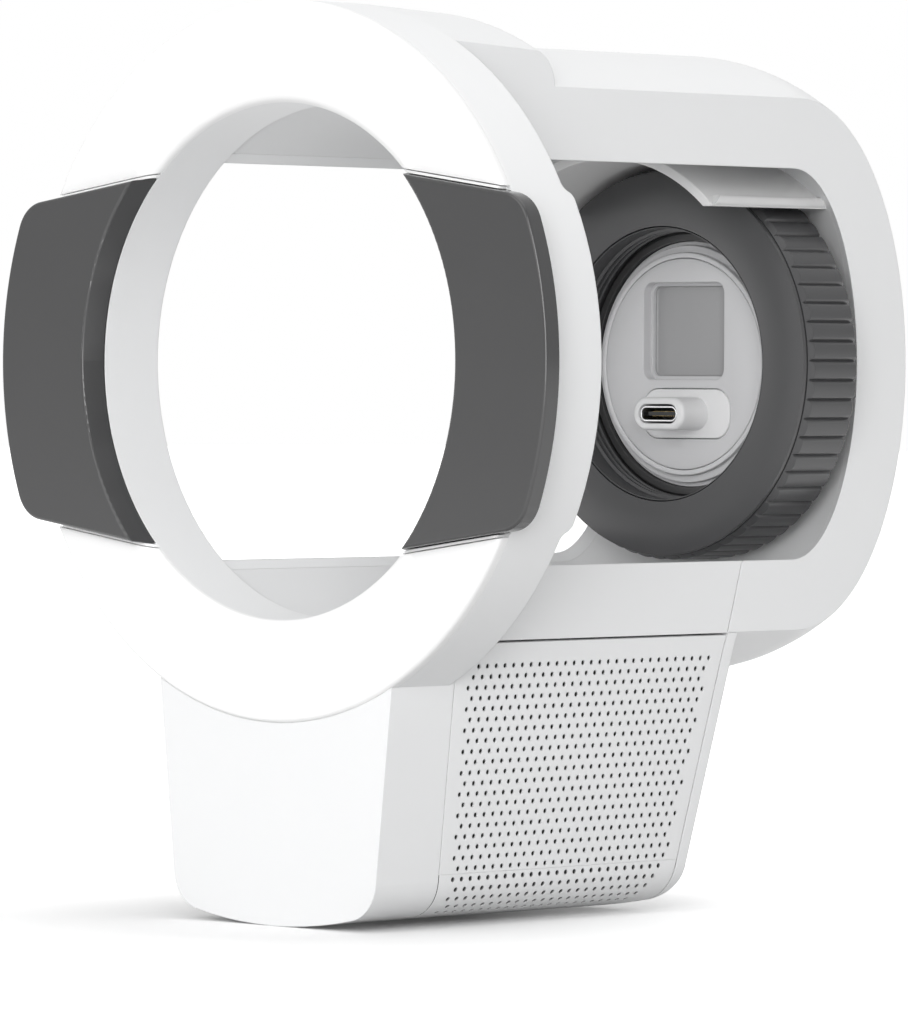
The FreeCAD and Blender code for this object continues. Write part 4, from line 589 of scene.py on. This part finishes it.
def rounded_face(mesh, width, height, corner_r, place, steps=10):
    """Rounded rectangle across the optical axis, made as one face."""
    grid = bmesh.ops.create_grid(mesh, x_segments=1, y_segments=1, size=0.5)
    corners = grid["verts"]
    bmesh.ops.scale(mesh, vec=(width, height, 1), verts=corners)
    turn = Euler((math.pi / 2, 0, 0)).to_matrix()
    bmesh.ops.rotate(mesh, cent=(0, 0, 0), matrix=turn, verts=corners)
    bmesh.ops.translate(mesh, vec=place, verts=corners)
    soft = bmesh.ops.bevel(mesh, geom=corners, offset=corner_r, offset_type="OFFSET", segments=steps,
                           profile=0.5, affect="VERTICES", material=-1)
    return [v for v in soft["verts"] if v.is_valid][0].link_faces[0]


def rim_only(mesh, width, height, corner_r, place, steps=10):
    face = rounded_face(mesh, width, height, corner_r, place, steps)
    rim = list(face.edges)
    bmesh.ops.delete(mesh, geom=[face], context="FACES_ONLY")
    return rim


def push_back(mesh, faces, depth, keep_front):
    """Extrudes flat faces backwards, and keeps them as the front of a solid if told to."""
    pushed = bmesh.ops.extrude_face_region(mesh, geom=faces, use_keep_orig=keep_front)["geom"]
    bmesh.ops.translate(mesh, vec=(0, depth, 0), verts=only(BMVert, pushed))


def pierced(mesh, rims, depth):
    """Solid plate between an outer rim and the rims of its openings."""
    filled = bmesh.ops.triangle_fill(mesh, use_beauty=True, use_dissolve=False, edges=rims,
                                     normal=(0, -1, 0))
    push_back(mesh, only(BMFace, filled["geom"]), depth, keep_front=True)


plug_plate_low, plug_plate_high = box_mm("plug_plate")
plug_x = (plug_plate_low[0] + plug_plate_high[0]) / 2
plug_z = (plug_plate_low[2] + plug_plate_high[2]) / 2
plug_width = plug_plate_high[0] - plug_plate_low[0]
plug_height = plug_plate_high[2] - plug_plate_low[2]
recess_top = disc_r - RECESS_MARGIN
recess_z = (recess_top + RECESS_BOTTOM) / 2
recess_height = recess_top - RECESS_BOTTOM
disc_front = disc_low[1]
disc = bmesh.new()
around = bmesh.ops.create_circle(disc, cap_ends=False, segments=DISC_STEPS, radius=disc_r)["verts"]
bmesh.ops.rotate(disc, cent=(0, 0, 0), matrix=Euler((math.pi / 2, 0, 0)).to_matrix(), verts=around)
bmesh.ops.translate(disc, vec=(0, disc_front, 0), verts=around)
rims = list(disc.edges)
rims += rim_only(disc, RECESS_WIDTH, recess_height, RECESS_R, (0, disc_front, recess_z))
rims += rim_only(disc, plug_width + 2 * PLUG_PLAY, plug_height + 2 * PLUG_PLAY, PLUG_R + PLUG_PLAY,
                 (plug_x, disc_front, plug_z))
pierced(disc, rims, disc_back - disc_front)
round_edges(disc, DISC_ROUND, 3, lambda e: at_front(e, disc_front))
disc_grey = moulded("disc_grey", (0.60, 0.60, 0.61), 0.5, grain=0.03, round_mm=0.0)
add_piece("connector_disc_plate", disc, "frame", [disc_grey], ["connector_disc"])

# Recess tub. The thin-walled pocket behind the disc's opening, moulded in the disc's own grey, with
# a darker satin floor and a soft corner between its walls and the floor.
TUB_WALL = 0.6
TUB_OVERLAP = 0.02
TUB_ROUND = 1.0
tub_front = disc_back - TUB_OVERLAP
tub_depth = disc_front + RECESS_DEPTH - tub_front
tub_floor = tub_front + tub_depth


def on_tub_floor(part):
    return all(v.co.y > tub_floor - FLUSH for v in part.verts)


tub = bmesh.new()
back_face = rounded_face(tub, RECESS_WIDTH, recess_height, RECESS_R, (0, tub_front, recess_z))
push_back(tub, [back_face], tub_depth, keep_front=False)
bmesh.ops.delete(tub, geom=[f for f in tub.faces if at_front(f, tub_front)], context="FACES_ONLY")
for face in tub.faces:
    face.material_index = 1 if on_tub_floor(face) else 0
floor_edges = [e for e in tub.edges if on_tub_floor(e)]
bmesh.ops.bevel(tub, geom=floor_edges, offset=TUB_ROUND, offset_type="OFFSET", segments=6, profile=0.5,
                affect="EDGES", material=1)
bmesh.ops.recalc_face_normals(tub, faces=tub.faces)
bmesh.ops.solidify(tub, geom=tub.faces[:], thickness=TUB_WALL)
recess_grey = moulded("recess_grey", (0.33, 0.33, 0.335), 0.36, grain=0.02, drift=0.05, round_mm=0.0)
add_piece("recess_tub", tub, "frame", [disc_grey, recess_grey])

# Connector board. The small round green board behind the disc, in the hub, from which the
# connector's lead runs down to the foot.
finish_nodes(["connector_board"], board_green)

# Plug plate. A rounded plate with the connector's long oval boss moulded on it, flush in the disc but
# for a hairline gap, its nose softly rounded.
BOSS_WIDTH = 12.3
BOSS_HEIGHT = 5.9
BOSS_SINK = 0.4
PLUG_PLATE_THICKNESS = 2.4
PLUG_PLATE_ROUND = 0.25
NOSE_ROUND = 0.8
END_SLACK = 0.01
TUNNEL_PLAY_ACROSS = 0.24
TUNNEL_PLAY_UP = 0.3
BESIDE_TUNNEL = 0.3
ABOVE_TUNNEL = 0.5
BESIDE_BOSS = 0.6
INSIDE_PLATE = 0.1


def oval_rim(mesh, width, height, place, steps=10):
    """Rim with fully round ends, but for the slack that the rounding needs between them."""
    return rim_only(mesh, width, height, height / 2 - END_SLACK, place, steps)


shell_low, shell_high = box_mm("usb_shell")
tunnel_width = shell_high[0] - shell_low[0] + TUNNEL_PLAY_ACROSS
tunnel_height = shell_high[2] - shell_low[2] + TUNNEL_PLAY_UP
plug_tip = plug_plate_low[1]
plug_rear = plug_plate_high[1]
plug_plate_front = plug_rear - PLUG_PLATE_THICKNESS


def on_nose(edge):
    """Whether an edge belongs to the outer rim of the boss's nose."""
    above = max(abs(v.co.z - plug_z) for v in edge.verts) > tunnel_height / 2 + ABOVE_TUNNEL
    beside = all(abs(v.co.x) > tunnel_width / 2 + BESIDE_TUNNEL for v in edge.verts)
    return at_front(edge, plug_tip) and (above or beside)


def on_plate_rim(edge):
    """Whether an edge belongs to the outer rim of the plate's front."""
    beside = max(abs(v.co.x - plug_x) for v in edge.verts) > BOSS_WIDTH / 2 + BESIDE_BOSS
    above = all(abs(v.co.z - plug_z) > plug_height / 2 - INSIDE_PLATE for v in edge.verts)
    return at_front(edge, plug_plate_front) and (beside or above)


plug = bmesh.new()
mouth = oval_rim(plug, tunnel_width, tunnel_height, (0, plug_tip, plug_z))
nose = oval_rim(plug, BOSS_WIDTH, BOSS_HEIGHT, (0, plug_tip, plug_z), 14)
pierced(plug, mouth + nose, plug_rear - plug_tip)
round_edges(plug, NOSE_ROUND, 5, on_nose)
base = bmesh.new()
base_rims = rim_only(base, plug_width, plug_height, PLUG_R, (plug_x, plug_plate_front, plug_z))
base_rims += oval_rim(base, BOSS_WIDTH - BOSS_SINK, BOSS_HEIGHT - BOSS_SINK, (0, plug_plate_front, plug_z))
pierced(base, base_rims, PLUG_PLATE_THICKNESS)
round_edges(base, PLUG_PLATE_ROUND, 3, on_plate_rim)
base_data = bpy.data.meshes.new("plug_base")
base.to_mesh(base_data)
base.free()
plug.from_mesh(base_data)
bpy.data.meshes.remove(base_data)
plug_grey = moulded("plug_grey", (0.76, 0.76, 0.765), 0.4, grain=0.03, round_mm=0.0)
add_piece("plug_boss", plug, "frame", [plug_grey], ["plug_plate"])

# Connector shell. Deep-drawn steel with a bright rolled mouth, and a black tongue inside with
# gilded contacts.
SHELL_WALL = 0.3
SHELL_PLAY_ACROSS = 0.5
SHELL_PLAY_UP = 0.75
SHELL_ROUND = 0.1
shell_front = shell_low[1]
shell_width = tunnel_width - SHELL_PLAY_ACROSS
shell_height = tunnel_height - SHELL_PLAY_UP
shell = bmesh.new()
shell_rims = []
for inset in (0, 2 * SHELL_WALL):
    shell_rims += oval_rim(shell, shell_width - inset, shell_height - inset, (0, shell_front, plug_z), 14)
pierced(shell, shell_rims, shell_high[1] - shell_front)
round_edges(shell, SHELL_ROUND, 3, lambda e: at_front(e, shell_front))
drawn_steel = metal("drawn_steel", (0.78, 0.78, 0.79), 0.2, stretch=(1, 0.1, 1))
add_piece("usb_shell_drawn", shell, "frame", [drawn_steel], ["usb_shell"])
tongue_black = moulded("tongue_black", (0.006, 0.006, 0.006), 0.5, drift=0.3, round_mm=0.05)
gilt = metal("gilt", (0.83, 0.62, 0.28), 0.25)
finish_nodes(["usb_tongue"], tongue_black)
finish_nodes(["usb_contacts"], gilt)

# Retainer, seal, screws and lead. The black collar screwed to the rear wall, on which the locking
# ring turns, the ring that keeps water out of the groove in front of it, and the connector's lead.
collar_black = moulded("collar_black", (0.045, 0.045, 0.046), 0.4, drift=0.2)
finish_nodes(["ring_retainer", "hub_seal"], collar_black)
finish_nodes(["retainer_screws"], steel)
finish_nodes(["usb_lead"], lead_sheath)

# Locking ring. Charcoal plastic, turned by hand: a cone widens from the face plate's rim into broad
# flat ridges with narrow valleys between them, and the rear edge is broken by a small chamfer.
RIDGE_COUNT = 63
RIDGE_STEPS = 14
FIRST_RIDGE = math.radians(-1.8)
VALLEY_STEPS = 3
VALLEY_HALF = 0.12
VALLEY_DEPTH = 0.5
RIDGE_CROWN = 0.15
CONE_SLOPE = 0.6
CONE_ROWS = 16
SEAM_WIDTH = 0.15
SEAM_DEPTH = 0.3
FACE_PLATE_THICKNESS = 0.9
FACE_PLATE_SEAT = 3.0
GRIP_WALL = 4.0
CHAMFER_LENGTH = 0.4
CHAMFER_DEPTH = 0.3
CHAMFER_ZONE = 1
SHOULDER_WIDTH = 2.3
SHOULDER_FROM_REAR = 3.2
SHOULDER_THICKNESS = 2.0
wheel_low, wheel_high = box_mm("locking_ring")
face_plate_low, face_plate_high = box_mm("locking_ring_face")
insert_low, insert_high = box_mm("thread_insert")
wheel_r = (wheel_high[0] - wheel_low[0]) / 2
wheel_front = wheel_low[1]
wheel_rear = wheel_high[1]
face_plate_r = (face_plate_high[0] - face_plate_low[0]) / 2
face_plate_front = face_plate_low[1]
insert_r = insert_high[0]
shoulder_r = insert_r - SHOULDER_WIDTH
shoulder_front = wheel_rear - SHOULDER_FROM_REAR
shoulder_rear = shoulder_front + SHOULDER_THICKNESS
grip_front = face_plate_front + FACE_PLATE_THICKNESS
cone_front = grip_front + SEAM_WIDTH
cone_length = (wheel_r - face_plate_r) / CONE_SLOPE


def ridge_profile(step):
    """Share of the pitch and radius at a step that is counted from the middle of a valley."""
    if step < VALLEY_STEPS:
        fall = (1 + math.cos(math.pi * step / VALLEY_STEPS)) / 2
        return VALLEY_HALF * step / VALLEY_STEPS, wheel_r - RIDGE_CROWN - VALLEY_DEPTH * fall
    up = (step - VALLEY_STEPS) / (RIDGE_STEPS / 2 - VALLEY_STEPS)
    return VALLEY_HALF + up * (0.5 - VALLEY_HALF), wheel_r - RIDGE_CROWN * (1 - up) ** 2


outline = [(insert_r, wheel_front), (face_plate_r - FACE_PLATE_SEAT, wheel_front),
           (face_plate_r - FACE_PLATE_SEAT, grip_front), (face_plate_r - SEAM_DEPTH, grip_front),
           (face_plate_r - SEAM_DEPTH, cone_front)]
outline += [(wheel_r, cone_front + cone_length * i / CONE_ROWS) for i in range(CONE_ROWS + 1)]
outline += [(wheel_r, wheel_rear - CHAMFER_LENGTH), (wheel_r - CHAMFER_DEPTH, wheel_rear),
            (wheel_r - GRIP_WALL, wheel_rear), (wheel_r - GRIP_WALL, shoulder_rear),
            (shoulder_r, shoulder_rear), (shoulder_r, shoulder_front), (insert_r, shoulder_front)]
wheel = lathe(outline, steps=RIDGE_COUNT * RIDGE_STEPS)
for vert in wheel.verts:
    radius = math.hypot(vert.co.x, vert.co.z)
    pitches = math.atan2(vert.co.z, vert.co.x) / (2 * math.pi) * RIDGE_COUNT
    off_centre = pitches - round(pitches)
    from_valley, top = ridge_profile((0.5 - abs(off_centre)) * RIDGE_STEPS)
    moved = round(pitches) + math.copysign(0.5 - from_valley, off_centre)
    angle = moved / RIDGE_COUNT * 2 * math.pi + FIRST_RIDGE
    if radius > face_plate_r + FLUSH and vert.co.y < wheel_rear - FLUSH:
        radius = min(top, face_plate_r + CONE_SLOPE * (vert.co.y - grip_front))
    elif radius > wheel_r - CHAMFER_ZONE:
        radius += top - wheel_r
    vert.co.x = radius * math.cos(angle)
    vert.co.z = radius * math.sin(angle)
ring_dark = moulded("ring_dark", (0.047, 0.047, 0.049), 0.42, grain=0.08, grain_scale=2600.0, drift=0.06,
                    round_mm=0.0)
add_piece("locking_ring_grip", wheel, "locking_ring", [ring_dark], ["locking_ring"])

# Face plate. A flat annulus on the front of the locking ring, with small rounds at both edges that
# leave a dark seam against the grip and against the thread.
FACE_PLATE_CLEARANCE = 2.58
FACE_PLATE_ROUND = 0.12
FACE_PLATE_STEPS = 300
face_plate_bore_r = hub_r + FACE_PLATE_CLEARANCE
face_plate = lathe([(face_plate_bore_r, face_plate_front), (face_plate_r, face_plate_front),
                    (face_plate_r, grip_front), (face_plate_bore_r, grip_front)], steps=FACE_PLATE_STEPS)
round_edges(face_plate, FACE_PLATE_ROUND, 2)
plate_dark = moulded("plate_dark", (0.048, 0.048, 0.05), 0.36, grain=0.05, grain_scale=2600.0, drift=0.06,
                     round_mm=0.0)
add_piece("locking_ring_plate", face_plate, "locking_ring", [plate_dark], ["locking_ring_face"])

# Thread. A threaded sleeve of the same plastic in the locking ring's bore, its front just behind that
# of the face plate. A little over three turns of thread draw the camera's tail in.
THREAD_CLEARANCE = 2.2
SLEEVE_WALL = 0.22
SLEEVE_INSET = 0.2
SLEEVE_ROUND = 0.08
INSERT_PLAY = 0.02
PITCH = 1.3
THREAD_TURNS = 3.2
THREAD_STEPS = 160
THREAD_LEAD_IN = 3.2
THREAD_HEIGHT = 0.5
THREAD_ROOT_HALF = 0.5
THREAD_CREST_HALF = 0.2
THREAD_SINK = 0.1
bore_wall_r = hub_r + THREAD_CLEARANCE
sleeve_r = bore_wall_r + SLEEVE_WALL
sleeve_front = face_plate_front + SLEEVE_INSET
insert_front = insert_low[1] + INSERT_PLAY
thread = lathe([(bore_wall_r, sleeve_front), (sleeve_r, sleeve_front), (sleeve_r, insert_front),
                (insert_r - INSERT_PLAY, insert_front), (insert_r - INSERT_PLAY, insert_high[1]),
                (bore_wall_r, insert_high[1])])
round_edges(thread, SLEEVE_ROUND, 2)
start = sleeve_front + THREAD_LEAD_IN
ridge_points = [(bore_wall_r + THREAD_SINK, start - THREAD_ROOT_HALF),
                (bore_wall_r - THREAD_HEIGHT, start - THREAD_CREST_HALF),
                (bore_wall_r - THREAD_HEIGHT, start + THREAD_CREST_HALF),
                (bore_wall_r + THREAD_SINK, start + THREAD_ROOT_HALF)]
ridge_face = thread.faces.new([thread.verts.new((r, y, 0)) for r, y in ridge_points])
bmesh.ops.spin(thread, geom=[ridge_face], cent=(0, 0, 0), axis=(0, -1, 0),
               dvec=(0, PITCH / THREAD_STEPS, 0), angle=2 * math.pi * THREAD_TURNS,
               steps=int(THREAD_STEPS * THREAD_TURNS), use_merge=False)
add_piece("locking_ring_thread", thread, "locking_ring", [ring_dark], ["thread_insert"])

# Speakers and electronics inside the foot. Coated paper cones in black frames, sintered magnets,
# cloth behind the grilles, the green main board with its black parts, and the box round them.
WEAVE_SHADE = 0.3


def woven(name, colour, wave_scale):
    """Plain weave: two sets of threads that pass over and under each other."""
    material, tree, skin, place = new_finish(name)
    skin.inputs["Roughness"].default_value = 0.85
    threads = []
    for direction in ("Y", "Z"):
        wave = tree.nodes.new("ShaderNodeTexWave")
        wave.bands_direction = direction
        wave.inputs["Scale"].default_value = wave_scale
        tree.links.new(place, wave.inputs["Vector"])
        threads.append(wave.outputs["Fac"])
    cross = tree.nodes.new("ShaderNodeMath")
    cross.operation = "MULTIPLY"
    tree.links.new(threads[0], cross.inputs[0])
    tree.links.new(threads[1], cross.inputs[1])
    gaps = [c * WEAVE_SHADE for c in colour]
    blend_colours(tree, cross.outputs[0], gaps, colour, skin.inputs["Base Color"])
    relief(tree, cross.outputs[0], skin.inputs["Normal"], strength=0.6, depth_mm=0.1)
    return material


box_black = moulded("box_black", (0.018, 0.018, 0.018), 0.55, grain=0.1, drift=0.2)
cone_paper = moulded("cone_paper", (0.05, 0.05, 0.048), 0.7, grain=0.3, grain_scale=1400.0, drift=0.25,
                     round_mm=0.0)
magnet_grey = moulded("magnet_grey", (0.09, 0.09, 0.095), 0.6, grain=0.4, grain_scale=1600.0, drift=0.2)
part_black = moulded("part_black", (0.03, 0.03, 0.03), 0.4, grain=0.05, drift=0.15)
mesh_cloth = woven("mesh_cloth", (0.01, 0.01, 0.01), wave_scale=500 / 3)
for side in ("left", "right"):
    finish_nodes([side + "_speaker_frame"], box_black)
    finish_nodes([side + "_speaker_cone"], cone_paper)
    finish_nodes([side + "_speaker_magnet"], magnet_grey)
    finish_nodes([side + "_speaker_screws"], steel)
    finish_nodes([side + "_grille_mesh"], mesh_cloth)
finish_nodes(["speaker_box"], box_black)
finish_nodes(["main_board"], board_green)
finish_nodes(["board_parts"], part_black)
finish_nodes(["board_screws", "speaker_box_screws", "rear_screws"], steel)

# Rear mount. Three brass inserts for the bracket's screws, set in the pad on the rear wall, and
# between them a rubber gland for the cable.
brass = metal("brass", (0.72, 0.53, 0.24), 0.3, stretch=(1, 0.15, 1))
finish_nodes(["mount_inserts"], brass)
finish_nodes(["cable_gland"], rubber)
